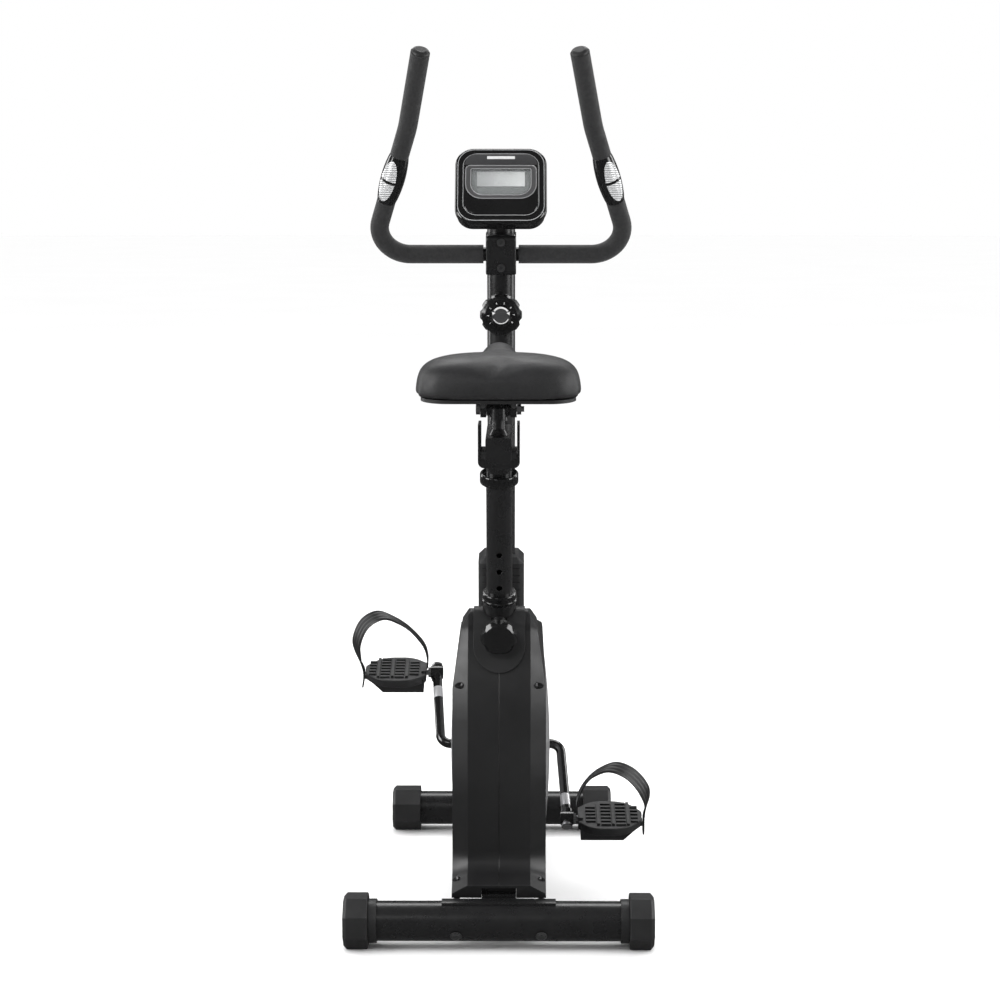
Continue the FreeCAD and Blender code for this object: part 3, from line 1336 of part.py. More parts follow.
def sensor_layout(side):
    """Placement of one sensor: +Z along the arm, +Y towards the rider and outwards."""
    start, end, along = sensor_span(side)
    outward = Vector(side * 0.35, -1, 0).normalize()
    facing = (outward - along * outward.dot(along)).normalize()
    across = facing.cross(along)
    return Placement(start, Rotation(across, facing, along, "ZXY"))


def sensor_housings():
    pieces = []
    for side in (-1, 1):
        solid = sensor_solid(0)
        solid.Placement = sensor_layout(side)
        pieces.append(made(solid, "Sensor"))
    subpart(group(*pieces), "sensor_housings")


def sensor_plates():
    """Two metal plates on each sensor, an oval split by a black band."""
    pieces = []
    length = size("sensor_length")
    oval = Part.Ellipse(Vector(0, 0, 0), 36, 12.5).toShape()
    face = Part.Face(Part.Wire([oval]))
    face.rotate(Vector(0, 0, 0), Vector(0, 1, 0), -90)
    face.rotate(Vector(0, 0, 0), Vector(0, 0, 1), 90)
    patch = face.extrude(Vector(0, 60, 0))
    patch.translate(Vector(0, 0, length / 2))
    shell = sensor_solid(0.9).cut(sensor_solid(0.05))
    plates = shell.common(patch)
    plates = plates.cut(Part.makeBox(80, 80, 5, Vector(-40, -40, length / 2 - 2.5)))
    plates = plates.cut(Part.makeBox(80, 80, 200, Vector(-40, -80, -50)))
    for side in (-1, 1):
        pair = plates.copy()
        pair.Placement = sensor_layout(side)
        for plate in pair.Solids:
            pieces.append(made(plate, "Plate"))
    subpart(group(*pieces), "sensor_plates")


# --- console -------------------------------------------------------------------------------------

def rounded_block(name, width, length, radius, low, height, y=0.0, low_radius=None):
    """A body with a rounded rectangle for its plan, raised to the height called low."""
    body = new_body(name)
    x = width / 2
    far = length / 2
    foot = radius if low_radius is None else low_radius
    corners = [(-x, y - far), (x, y - far), (x, y + far), (-x, y + far)]
    sketch = sketch_outline(body, name + "Plan", "XY_Plane", corners, [foot, foot, radius, radius])
    block = pad(body, sketch, height)
    body.Placement = Placement(Vector(0, 0, low), Rotation())
    return body, block


# The window: a wide opening with rounder lower corners; the display sits in its upper part.
WINDOW = {"width": 110, "length": 58, "y": 3, "radius": 7, "low_radius": 20}
DISPLAY = {"width": 76, "length": 27, "y": 11}


def console_back():
    width = size("console_width")
    length = size("console_length")
    depth = size("console_depth")
    body, block = rounded_block("ConsoleBack", width - 6, length - 6, 26, -depth, depth - 8.2)
    dress(body, "PartDesign::Chamfer", block, lambda middle: middle.z < 0.1, Size=14)
    inside, inside_block = rounded_block("BackInside", width - 12, length - 12, 23, -depth + 3, 40)
    dress(inside, "PartDesign::Chamfer", inside_block, lambda middle: middle.z < 0.1, Size=13)
    subpart(cut(body, inside), "console_back", CONSOLE)


def console_front():
    """Front bezel with a stepped face and the window opening."""
    width = size("console_width")
    length = size("console_length")
    rim, block = rounded_block("BezelRim", width, length, 30, -8, 12)
    dress(rim, "PartDesign::Fillet", block, lambda middle: middle.z > 11.9, Radius=5)
    face, face_block = rounded_block("BezelFace", width - 26, length - 26, 22, 3, 5)
    dress(face, "PartDesign::Fillet", face_block, lambda middle: middle.z > 4.9, Radius=2.5)
    hollow = rounded_block("BezelInside", width - 8, length - 8, 26, -9, 9)[0]
    opening = rounded_block("WindowWay", WINDOW["width"], WINDOW["length"], WINDOW["radius"],
                            -10, 30, WINDOW["y"], WINDOW["low_radius"])[0]
    subpart(cut(fuse(rim, face), hollow, opening), "console_front", CONSOLE)


def console_window():
    """Clear lens in the bezel's opening."""
    low = 4.4
    body = rounded_block("Lens", WINDOW["width"] - 0.4, WINDOW["length"] - 0.4,
                         WINDOW["radius"] - 0.2, 0, 1.8, WINDOW["y"],
                         WINDOW["low_radius"] - 0.2)[0]
    subpart(body, "console_window", CONSOLE.multiply(Placement(Vector(0, 0, low), Rotation())))


def lcd_panel():
    """Display module behind the lens, on its circuit board."""
    plate = slab(DISPLAY["width"] / 2, DISPLAY["length"], 3, DISPLAY["y"] - DISPLAY["length"] / 2, 0)
    board = slab(57, 62, 1.6, WINDOW["y"] - 31, -1.6)
    subpart(fuse(plate, board), "lcd_panel", CONSOLE)


def battery_cover():
    """Cover of the battery box on the console's back."""
    plate = slab(29, 30, 2, 28, "-1 * console_depth - 2.1")
    soft = round_edges(plate, 1, lambda middle: middle.z < -38)
    ribs = [slab(8, 1.4, 0.8, y, "-1 * console_depth - 2.7") for y in (46, 49)]
    subpart(fuse(soft, *ribs), "battery_cover", CONSOLE)


# --- the whole bike ------------------------------------------------------------------------------

def build():
    rear_stabiliser()
    front_stabiliser()
    rear_cap(-1, "rear_left_cap")
    rear_cap(1, "rear_right_cap")
    cap_sleeves()
    front_caps()
    transport_wheel(-1, "left_transport_wheel")
    transport_wheel(1, "right_transport_wheel")
    frame_fasteners()
    main_frame()
    seat_bush()
    seat_pin()
    seat_knob()
    handlebar_post()
    clamp_cover()
    clamp_bolts()
    tension_knob_base()
    tension_knob()
    tension_cable()
    shell_half(-1, "left_shell")
    shell_half(1, "right_shell")
    shell_screws()
    seat_tube_cover()
    neck_cover()
    disc_covers()
    crank()
    crank_nuts()
    crank_bearings()
    drive_pulley()
    flywheel()
    flywheel_axle()
    drive_belt()
    idler_pulley()
    magnet_bracket()
    magnets()
    spindles()
    pedal(-1, "left_pedal", LEFT_PEDAL)
    pedal(1, "right_pedal", RIGHT_PEDAL)
    pedal_strap(-1, "left_pedal_strap", LEFT_PEDAL)
    pedal_strap(1, "right_pedal_strap", RIGHT_PEDAL)
    seat_post()
    slider_guides()
    post_ring()
    slider_tube()
    saddle_clamp()
    saddle_jaws()
    saddle_clamp_bolt()
    saddle_rails()
    saddle_base()
    saddle_cushion()
    handlebar_tube()
    handlebar_foam()
    grip_end_plugs()
    sensor_housings()
    sensor_plates()
    console_back()
    console_front()
    console_window()
    lcd_panel()
    battery_cover()


def check_and_write():
    """Stops on any failed object, then writes one STEP file for each sub-part."""
    doc.recompute()
    failed = [obj for obj in doc.Objects if "Invalid" in obj.State or "Error" in obj.State]
    if failed:
        names = ["%s %s" % (obj.Name, [user.Label for user in obj.InList]) for obj in failed]
        raise RuntimeError("failed objects: %s" % names)
    os.makedirs("parts", exist_ok=True)
    for obj in SUBPARTS:
        shape = obj.Shape
        if shape.isNull() or not shape.isValid():
            raise RuntimeError("%s has no valid shape" % obj.Label)
        shape.exportStep("parts/%s.step" % obj.Label)
        limits = shape.BoundBox
        print("%-24s solids %d volume %9.1f cm3  x %.1f..%.1f  y %.1f..%.1f  z %.1f..%.1f" % (
            obj.Label, len(shape.Solids), shape.Volume / 1000, limits.XMin, limits.XMax,
            limits.YMin, limits.YMax, limits.ZMin, limits.ZMax))


build()
check_and_write()
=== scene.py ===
import math

import bmesh
import bpy
from mathutils import Matrix, Vector


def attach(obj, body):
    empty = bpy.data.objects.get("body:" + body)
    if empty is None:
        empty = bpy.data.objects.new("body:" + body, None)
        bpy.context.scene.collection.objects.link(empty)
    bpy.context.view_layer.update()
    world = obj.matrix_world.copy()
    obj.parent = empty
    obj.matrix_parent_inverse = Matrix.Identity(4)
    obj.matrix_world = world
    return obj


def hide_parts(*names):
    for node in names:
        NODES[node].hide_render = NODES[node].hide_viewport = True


# The exercise bike's looks: materials for every CAD node, and modelled pieces for what CAD keeps plain.

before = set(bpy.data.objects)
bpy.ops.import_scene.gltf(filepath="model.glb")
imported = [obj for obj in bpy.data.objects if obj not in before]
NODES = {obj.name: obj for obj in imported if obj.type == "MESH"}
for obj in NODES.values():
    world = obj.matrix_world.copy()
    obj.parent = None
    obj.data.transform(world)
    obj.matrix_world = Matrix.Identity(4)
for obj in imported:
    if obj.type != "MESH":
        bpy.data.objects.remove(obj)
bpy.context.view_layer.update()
SCENE = bpy.context.scene


# --- camera, light and floor ---------------------------------------------------------------------

def make_camera():
    data = bpy.data.cameras.new("Camera")
    data.lens = 82.6
    data.sensor_width = 36
    camera = bpy.data.objects.new("Camera", data)
    SCENE.collection.objects.link(camera)
    camera.location = (0.0275, -3.5325, 1.087)
    camera.rotation_euler = (math.radians(82.43), 0, math.radians(0.455))
    SCENE.camera = camera


def area_light(name, place, target, width, height, power, tint=(1, 1, 1)):
    data = bpy.data.lights.new(name, "AREA")
    data.shape = "RECTANGLE"
    data.size = width
    data.size_y = height
    data.energy = power
    data.color = tint
    light = bpy.data.objects.new(name, data)
    SCENE.collection.objects.link(light)
    light.location = place
    aim = Vector(target) - Vector(place)
    light.rotation_euler = aim.to_track_quat("-Z", "Y").to_euler()


def soft_sun(power, tilt, turn):
    data = bpy.data.lights.new("Sky", "SUN")
    data.energy = power
    data.angle = math.radians(100)
    light = bpy.data.objects.new("Sky", data)
    SCENE.collection.objects.link(light)
    light.rotation_euler = (math.radians(tilt), 0, math.radians(turn))
    light.visible_glossy = False


def make_studio():
    soft_sun(3.6, -12, 10)
    area_light("Key", (-3.3, -1.5, 1.9), (0, 0, 0.7), 1.8, 2.6, 95)
    area_light("Front", (-1.3, -3.9, 2.9), (0, 0, 0.7), 1.1, 0.9, 14)
    area_light("Fill", (3.3, -1.3, 1.7), (0, 0, 0.6), 1.8, 2.6, 75)
    area_light("RimLeft", (-2.7, 1.5, 1.5), (0, 0, 0.7), 0.9, 2.6, 28)
    area_light("RimRight", (2.7, 1.3, 1.6), (0, 0, 0.7), 0.9, 2.6, 28)
    area_light("Top", (0, 2.0, 3.4), (0, 0, 0.3), 3.2, 1.4, 60)
    world = bpy.data.worlds.new("World")
    SCENE.world = world
    world.use_nodes = True
    tree = world.node_tree
    back = tree.nodes["Background"]
    back.inputs["Color"].default_value = (1, 1, 1, 1)
    path = tree.nodes.new("ShaderNodeLightPath")
    level = tree.nodes.new("ShaderNodeMapRange")
    level.inputs["To Min"].default_value = 0.09
    level.inputs["To Max"].default_value = 1.0
    tree.links.new(path.outputs["Is Camera Ray"], level.inputs["Value"])
    tree.links.new(level.outputs["Result"], back.inputs["Strength"])
    SCENE.view_settings.view_transform = "Standard"


# --- material helpers ----------------------------------------------------------------------------

class Look:
    """A procedural material: a Principled shader with object coordinates feeding its textures."""

    def __init__(self, name, roughness=0.5, metallic=0.0):
        self.material = bpy.data.materials.new(name)
        self.material.use_nodes = True
        self.tree = self.material.node_tree
        self.shader = self.tree.nodes["Principled BSDF"]
        self.shader.inputs["Metallic"].default_value = metallic
        self.shader.inputs["Roughness"].default_value = roughness
        self.coords = self.add("TexCoord").outputs["Object"]

    def add(self, kind, **values):
        node = self.tree.nodes.new("ShaderNode" + kind)
        for key, value in values.items():
            setattr(node, key, value)
        return node

    def join(self, source, target):
        self.tree.links.new(source, target)
        return source

    def stretched(self, scale, turn=(0, 0, 0)):
        node = self.add("Mapping")
        node.inputs["Scale"].default_value = scale
        node.inputs["Rotation"].default_value = turn
        self.join(self.coords, node.inputs["Vector"])
        return node.outputs["Vector"]

    def noise(self, scale, detail=2.0, vector=None, roughness=0.5):
        node = self.add("TexNoise")
        node.inputs["Scale"].default_value = scale
        node.inputs["Detail"].default_value = detail
        node.inputs["Roughness"].default_value = roughness
        self.join(vector or self.coords, node.inputs["Vector"])
        return node.outputs["Fac"]

    def cells(self, scale, feature="F1", vector=None):
        node = self.add("TexVoronoi", feature=feature)
        node.inputs["Scale"].default_value = scale
        self.join(vector or self.coords, node.inputs["Vector"])
        return node.outputs["Distance"]

    def math(self, operation, a, b=0.0):
        node = self.add("Math", operation=operation)
        for socket, value in zip(node.inputs, (a, b)):
            if isinstance(value, (int, float)):
                socket.default_value = value
            else:
                self.join(value, socket)
        return node.outputs["Value"]

    def spread(self, value, low, high, start=0.3, end=0.7):
        node = self.add("MapRange")
        node.inputs["From Min"].default_value = start
        node.inputs["From Max"].default_value = end
        node.inputs["To Min"].default_value = low
        node.inputs["To Max"].default_value = high
        self.join(value, node.inputs["Value"])
        return node.outputs["Result"]

    def blend(self, share, low, high):
        node = self.add("Mix", data_type="RGBA")
        self.join(share, node.inputs[0])
        for socket, value in zip((node.inputs[6], node.inputs[7]), (low, high)):
            if isinstance(value, tuple):
                socket.default_value = (*value, 1.0)
            else:
                self.join(value, socket)
        return node.outputs[2]

    def bump(self, height, strength, distance=0.001):
        node = self.add("Bump")
        node.inputs["Strength"].default_value = strength
        node.inputs["Distance"].default_value = distance
        self.join(height, node.inputs["Height"])
        previous = self.shader.inputs["Normal"]
        if previous.is_linked:
            self.join(previous.links[0].from_socket, node.inputs["Normal"])
        self.join(node.outputs["Normal"], previous)

    def soft_edges(self, radius, wear=None):
        """Rounds the look of sharp edges and returns how much of an edge each point is."""
        bevel = self.add("Bevel", samples=4)
        bevel.inputs["Radius"].default_value = radius
        self.join(bevel.outputs["Normal"], self.shader.inputs["Normal"])
        geometry = self.add("NewGeometry")
        dot = self.add("VectorMath", operation="DOT_PRODUCT")
        self.join(bevel.outputs["Normal"], dot.inputs[0])
        self.join(geometry.outputs["Normal"], dot.inputs[1])
        return self.spread(dot.outputs["Value"], 1.0, 0.0, 0.86, 0.995)

    def colour(self, source):
        self.join(source, self.shader.inputs["Base Color"])

    def rough(self, source):
        self.join(source, self.shader.inputs["Roughness"])


def shade(tone, factor):
    return tuple(min(1.0, value * factor) for value in tone)


def moulded(name, tone, roughness=0.4, grain=900, depth=0.12, edge=0.0006, coat=0.0, speck=1.5):
    """Moulded plastic: fine texture, faint flow clouds, and paler worn edges."""
    look = Look(name, roughness)
    edge_share = look.soft_edges(edge) if edge else None
    cloud = look.noise(14, 3)
    base = look.blend(look.spread(cloud, 0, 1), shade(tone, 0.8), shade(tone, 1.25))
    if edge_share:
        rub = look.math("MULTIPLY", edge_share, look.spread(look.noise(60, 3), 0.1, 0.9))
        base = look.blend(rub, base, shade(tone, 1.0 + speck))
    look.colour(base)
    look.rough(look.spread(look.noise(90, 4), roughness - 0.06, roughness + 0.07))
    look.bump(look.noise(grain, 3), depth, 0.0006)
    look.shader.inputs["Coat Weight"].default_value = coat
    look.shader.inputs["Coat Roughness"].default_value = 0.08
    return look


def painted(name, tone, roughness=0.35, peel=420, depth=0.04, coat=0.25):
    """Powder coat or enamel on steel: orange peel, paler clouds of dust, thin paint on the edges."""
    look = Look(name, roughness)
    edge_share = look.soft_edges(0.0008)
    dust = look.spread(look.noise(35, 5), 0, 1, 0.45, 0.8)
    base = look.blend(dust, tone, shade(tone, 1.2))
    rub = look.math("MULTIPLY", edge_share, look.spread(look.noise(80, 3), 0, 0.8))
    look.colour(look.blend(rub, base, shade(tone, 3.5)))
    look.rough(look.spread(look.noise(50, 4), roughness - 0.05, roughness + 0.08))
    look.bump(look.noise(peel, 2), depth, 0.0008)
    look.shader.inputs["Coat Weight"].default_value = coat
    look.shader.inputs["Coat Roughness"].default_value = 0.12
    return look


def metal(name, tone, roughness=0.3, grain=(40, 900, 900), depth=0.05):
    """Bare or plated metal with tool marks along one direction and a little tarnish."""
    look = Look(name, roughness, 1.0)
    lines = look.noise(1.0, 4, look.stretched(grain))
    tarnish = look.noise(45, 4)
    look.colour(look.blend(look.spread(tarnish, 0, 1), shade(tone, 0.8), tone))
    look.rough(look.spread(lines, roughness - 0.07, roughness + 0.12))
    look.bump(lines, depth, 0.0005)
    return look


def make_foam():
    """Closed-cell foam: a dull skin full of small pores."""
    look = Look("Foam", 0.85)
    pores = look.cells(850)
    skin = look.noise(260, 4)
    look.colour(look.blend(look.spread(skin, 0, 1), (0.011, 0.011, 0.0115), (0.018, 0.018, 0.019)))
    look.rough(look.spread(look.noise(70, 3), 0.66, 0.9))
    look.bump(pores, 0.35, 0.0008)
    look.bump(skin, 0.2, 0.0008)
    look.shader.inputs["Sheen Weight"].default_value = 0.12
    look.shader.inputs["Sheen Roughness"].default_value = 0.5
    return look


def make_vinyl():
    """Leather-grained vinyl: pebbled cells with finer wrinkles, shinier where it is rubbed."""
    look = Look("SaddleVinyl", 0.5)
    warp = look.add("VectorMath", operation="ADD")
    look.join(look.coords, warp.inputs[0])
    drift = look.add("TexNoise")
    drift.inputs["Scale"].default_value = 130
    look.join(look.coords, drift.inputs["Vector"])
    scaled = look.add("VectorMath", operation="SCALE")
    scaled.inputs["Scale"].default_value = 0.0022
    look.join(drift.outputs["Color"], scaled.inputs[0])
    look.join(scaled.outputs["Vector"], warp.inputs[1])
    pebble = look.cells(520, "DISTANCE_TO_EDGE", warp.outputs["Vector"])
    rise = look.spread(pebble, 0, 1, 0.0, 0.16)
    look.colour(look.blend(rise, (0.009, 0.009, 0.0095), (0.019, 0.019, 0.02)))
    look.rough(look.spread(look.noise(22, 4), 0.4, 0.56))
    look.bump(rise, 0.22, 0.0006)
    look.bump(look.noise(1500, 2), 0.08, 0.0004)
    return look


def make_shell():
    """Fine-textured satin ABS with the joint between the halves as a dark groove, and a painted
    highlight along its edges.
    """
    look = Look("ShellPlastic", 0.38)
    edge_share = look.soft_edges(0.0012)
    cloud = look.noise(6, 3)
    base = look.blend(look.spread(cloud, 0, 1), (0.0085, 0.0085, 0.009), (0.013, 0.013, 0.0135))
    # Painted highlight: every edge of the shell is painted paler, evenly along its whole length.
    base = look.blend(look.math("MULTIPLY", edge_share, 0.5), base, (0.05, 0.05, 0.052))
    axes = look.add("SeparateXYZ")
    look.join(look.coords, axes.inputs["Vector"])
    away = look.math("ABSOLUTE", axes.outputs["X"])
    joint = look.spread(away, 1, 0, 0.0003, 0.0008)
    look.colour(look.blend(joint, base, (0.001, 0.001, 0.001)))
    look.rough(look.spread(look.noise(40, 4), 0.32, 0.44))
    look.bump(look.noise(1300, 3), 0.1, 0.0005)
    look.bump(look.spread(away, 0, 1, 0.0002, 0.001), 0.5, 0.0006)
    return look


def make_silver(name, low, high):
    """Silver-sprayed plastic with fine flakes."""
    look = Look(name, 0.3, 0.55)
    flake = look.noise(2200, 2)
    dull, bright = (low, low, low * 1.02), (high, high, high * 1.02)
    look.colour(look.blend(look.spread(flake, 0, 1), dull, bright))
    look.rough(look.spread(look.noise(30, 2), 0.27, 0.33, 0.1, 0.9))
    look.bump(flake, 0.04, 0.0003)
    look.shader.inputs["Coat Weight"].default_value = 0.4
    look.shader.inputs["Coat Roughness"].default_value = 0.1
    return look


def make_sensor_metal():
    """Bright plate with fine raised ribs across it, painted pale on the rib crests and dark in the
    troughs: painted highlight and painted shade.
    """
    look = Look("SensorMetal", 0.25, 0.35)
    wave = look.add("TexWave", wave_type="BANDS", bands_direction="Z", wave_profile="SIN")
    wave.inputs["Scale"].default_value = 95
    look.join(look.coords, wave.inputs["Vector"])
    ribs = wave.outputs["Fac"]
    # The colour follows the ribs: a painted highlight on each crest and painted shade in each trough.
    look.colour(look.blend(ribs, (0.3, 0.305, 0.31), (0.85, 0.855, 0.86)))
    look.rough(look.spread(look.noise(120, 3), 0.16, 0.32))
    look.bump(ribs, 0.5, 0.0008)
    return look


def make_lens():
    look = Look("Lens", 0.04)
    look.colour(look.blend(look.noise(20, 2), (0.7, 0.72, 0.73), (0.8, 0.82, 0.83)))
    look.rough(look.spread(look.noise(60, 5), 0.02, 0.07))
    look.shader.inputs["Alpha"].default_value = 0.16
    look.shader.inputs["Specular IOR Level"].default_value = 1.0
    return look


def make_display():
    """Liquid crystal glass: grey with faint rows of pixels, and a painted reflection that pales it
    towards the right.
    """
    look = Look("Display", 0.22)
    wave = look.add("TexWave", wave_type="BANDS", bands_direction="X")
    wave.inputs["Scale"].default_value = 260
    look.join(look.coords, wave.inputs["Vector"])
    axes = look.add("SeparateXYZ")
    look.join(look.coords, axes.inputs["Vector"])
    # Painted reflection: the glass is painted paler from left to right.
    painted_reflection = look.math("MULTIPLY", look.spread(axes.outputs["X"], 0.1, 0.9, -0.034, 0.03),
                    look.spread(look.noise(26, 2), 0.85, 1.15))
    tint = look.blend(painted_reflection, (0.3, 0.31, 0.305), (0.78, 0.8, 0.79))
    rows = look.math("MULTIPLY", wave.outputs["Fac"], 0.12)
    look.colour(look.blend(rows, tint, (0.3, 0.32, 0.31)))
    look.rough(look.spread(look.noise(90, 3), 0.18, 0.3))
    return look


def make_print(name, tone):
    """Ink, foil, and the painted highlight lines on the console: thin, slightly uneven."""
    look = Look(name, 0.4)
    look.colour(look.blend(look.spread(look.noise(300, 3), 0, 1), shade(tone, 0.85), tone))
    look.rough(look.spread(look.noise(140, 3), 0.3, 0.5))
    return look


def make_belt():
    look = Look("BeltRubber", 0.7)
    wave = look.add("TexWave", wave_type="BANDS", bands_direction="X")
    wave.inputs["Scale"].default_value = 160
    look.join(look.coords, wave.inputs["Vector"])
    look.colour(look.blend(look.noise(60, 3), (0.012, 0.012, 0.012), (0.03, 0.03, 0.03)))
    look.bump(wave.outputs["Fac"], 0.5, 0.001)
    return look


def make_floor_look():
    look = Look("Backdrop", 0.9)
    look.colour(look.blend(look.noise(0.8, 2), (0.86, 0.86, 0.86), (0.89, 0.89, 0.89)))
    look.bump(look.noise(40, 3), 0.02, 0.001)
    return look


LOOKS = {
    "frame": painted("FramePaint", (0.009, 0.009, 0.0094), 0.28),
    "gloss": painted("GlossPaint", (0.006, 0.006, 0.0062), 0.14, 260, 0.03, 0.8),
    "shell": make_shell(),
    "cover": moulded("CoverPlastic", (0.0115, 0.0115, 0.012), 0.46, 1100, 0.1, 0.001),
    "trim": moulded("TrimPlastic", (0.005, 0.005, 0.0052), 0.16, 700, 0.03, 0.0008, 0.6, 1.0),
    "bezel": moulded("BezelPlastic", (0.006, 0.006, 0.0062), 0.13, 500, 0.02, 0.0008, 0.7, 1.0),
    "cap": moulded("CapPlastic", (0.016, 0.016, 0.0165), 0.46, 800, 0.2, 0.0012),
    "pedal": moulded("PedalPlastic", (0.014, 0.014, 0.0145), 0.44, 700, 0.2, 0.0008, 0.0, 2.5),
    "strap": moulded("StrapPlastic", (0.01, 0.01, 0.0103), 0.36, 900, 0.12, 0.0006, 0.0, 2.0),
    "foam": make_foam(),
    "vinyl": make_vinyl(),
    "silver": make_silver("SilverPlastic", 0.42, 0.66),
    "smoke": make_silver("SmokedSilver", 0.1, 0.17),
    "plate": make_sensor_metal(),
    "steel": metal("ZincSteel", (0.56, 0.56, 0.57), 0.3),
    "dark": metal("BlackSteel", (0.3, 0.3, 0.305), 0.3),
    "iron": metal("CastIron", (0.2, 0.2, 0.21), 0.5, (200, 200, 200), 0.3),
    "lens": make_lens(),
    "display": make_display(),
    "belt": make_belt(),
    "white": make_print("WhitePrint", (0.72, 0.72, 0.72)),
    "pale": make_print("PaintedHighlightLine", (0.4, 0.405, 0.41)),
    "panel": make_print("PanelPrint", (0.04, 0.04, 0.042)),
    "foil": make_silver("FoilBand", 0.5, 0.75),
    "circuit": make_print("CircuitBoard", (0.012, 0.03, 0.018)),
}

NODE_LOOKS = {
    "frame": "main_frame rear_stabiliser front_stabiliser handlebar_post clamp_cover seat_post "
             "slider_tube saddle_clamp saddle_jaws handlebar_tube",
    "gloss": "crank",
    "shell": "left_shell right_shell",
    "cover": "seat_tube_cover neck_cover",
    "trim": "seat_bush tension_knob_base tension_knob console_back battery_cover seat_knob "
            "post_ring sensor_housings",
    "bezel": "console_front",
    "cap": "rear_cap_sleeves front_caps rear_left_cap rear_right_cap left_transport_wheel "
           "right_transport_wheel drive_pulley idler_pulley slider_guides saddle_base "
           "grip_end_plugs",
    "pedal": "left_pedal right_pedal",
    "strap": "left_pedal_strap right_pedal_strap",
    "foam": "handlebar_foam",
    "vinyl": "saddle_cushion",
    "silver": "disc_covers",
    "plate": "sensor_plates",
    "steel": "crank_bearings flywheel_axle crank_nuts pedal_spindles magnet_bracket seat_pin "
             "saddle_clamp_bolt",
    "dark": "frame_fasteners shell_screws clamp_bolts magnets saddle_rails",
    "iron": "flywheel",
    "lens": "console_window",
    "circuit": "lcd_panel",
    "belt": "drive_belt tension_cable",
}


def dress_nodes():
    for look, names in NODE_LOOKS.items():
        for name in names.split():
            node = NODES[name]
            node.data.materials.clear()
            node.data.materials.append(LOOKS[look].material)


# --- mesh helpers --------------------------------------------------------------------------------

def new_piece(name, look, body, mesh=None):
    """An object with its look and slot, which notes the body that it will ride on."""
    mesh = mesh or bpy.data.meshes.new(name)
    piece = bpy.data.objects.new(name, mesh)
    SCENE.collection.objects.link(piece)
    mesh.materials.clear()
    mesh.materials.append(LOOKS[look].material)
    piece["planned_body"] = body
    return piece


def finish_piece(piece, work, smooth=True):
    """Writes a bmesh into the piece and lets it ride on its body."""
    bmesh.ops.recalc_face_normals(work, faces=work.faces[:])
    work.to_mesh(piece.data)
    work.free()
    for polygon in piece.data.polygons:
        polygon.use_smooth = smooth
    if smooth:
        piece.data.set_sharp_from_angle(angle=math.radians(35))
    body = piece["planned_body"]
    del piece["planned_body"]
    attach(piece, body)
    return piece


def loft(rings, cap=True):
    """A bmesh through closed rings of points that all have the same count."""
    work = bmesh.new()
    rows = [[work.verts.new(point) for point in ring] for ring in rings]
    count = len(rows[0])
    for low, high in zip(rows, rows[1:]):
        for index in range(count):
            after = (index + 1) % count
            work.faces.new((low[index], low[after], high[after], high[index]))
    if cap:
        work.faces.new(rows[0][::-1])
        work.faces.new(rows[-1])
    return work


def bead_along(points, radius, frame_matrix, sides=8):
    """A thin round bead along a closed line of points in a local plane z = constant."""
    rings = []
    count = len(points)
    for index, point in enumerate(points):
        along = (points[(index + 1) % count] - points[index - 1]).normalized()
        side = along.cross(Vector((0, 0, 1))).normalized()
        ring = []
        for step in range(sides):
            angle = 2 * math.pi * step / sides
            offset = side * (radius * math.cos(angle))
            offset += Vector((0, 0, radius * math.sin(angle)))
            ring.append(frame_matrix @ (point + offset))
        rings.append(ring)
    rings.append(rings[0])
    work = loft(rings, cap=False)
    bmesh.ops.remove_doubles(work, verts=work.verts[:], dist=1e-6)
    return work


def rounded_rectangle(width, length, radius, low_radius, middle=0.0, steps=10):
    """Points round a rounded rectangle, with its own radius for the two lower corners."""
    points = []
    corners = ((1, 1, radius, 0), (-1, 1, radius, 90), (-1, -1, low_radius, 180),
               (1, -1, low_radius, 270))
    for side, end, bend, start in corners:
        centre = Vector((side * (width / 2 - bend), middle + end * (length / 2 - bend), 0))
        for step in range(steps + 1):
            angle = math.radians(start + 90 * step / steps)
            points.append(centre + Vector((math.cos(angle), math.sin(angle), 0)) * bend)
    return points


def plate_between(outlines, frame_matrix):
    """Stacks outlines given as (points, height) into a closed, softly edged plate."""
    rings = [[frame_matrix @ (point + Vector((0, 0, height))) for point in points]
             for points, height in outlines]
    return loft(rings)


# --- console -------------------------------------------------------------------------------------

def lean(y, z, degrees):
    return Matrix.Translation((0, y, z)) @ Matrix.Rotation(math.radians(degrees), 4, "X")


CONSOLE = lean(0.1205, 1.101, 60)
MAST = lean(0.2475, 0.086, 5)


def ring_plate(name, look, outer, inner, low, high):
    """A flat frame between two outlines, with a crowned top."""
    middle = [(a + b) / 2 for a, b in zip(outer, inner)]
    rings = [(outer, low), (outer, high - 0.0006), (middle, high), (inner, high - 0.0008),
             (inner, low), (outer, low)]
    placed = [[CONSOLE @ (point + Vector((0, 0, height))) for point in points]
              for points, height in rings]
    work = loft(placed, cap=False)
    bmesh.ops.remove_doubles(work, verts=work.verts[:], dist=1e-6)
    piece = new_piece(name, look, "frame")
    finish_piece(piece, work)


def console_bead(name, look, outline, height, radius):
    line = [point + Vector((0, 0, height)) for point in outline]
    piece = new_piece(name, look, "frame")
    finish_piece(piece, bead_along(line, radius, CONSOLE))


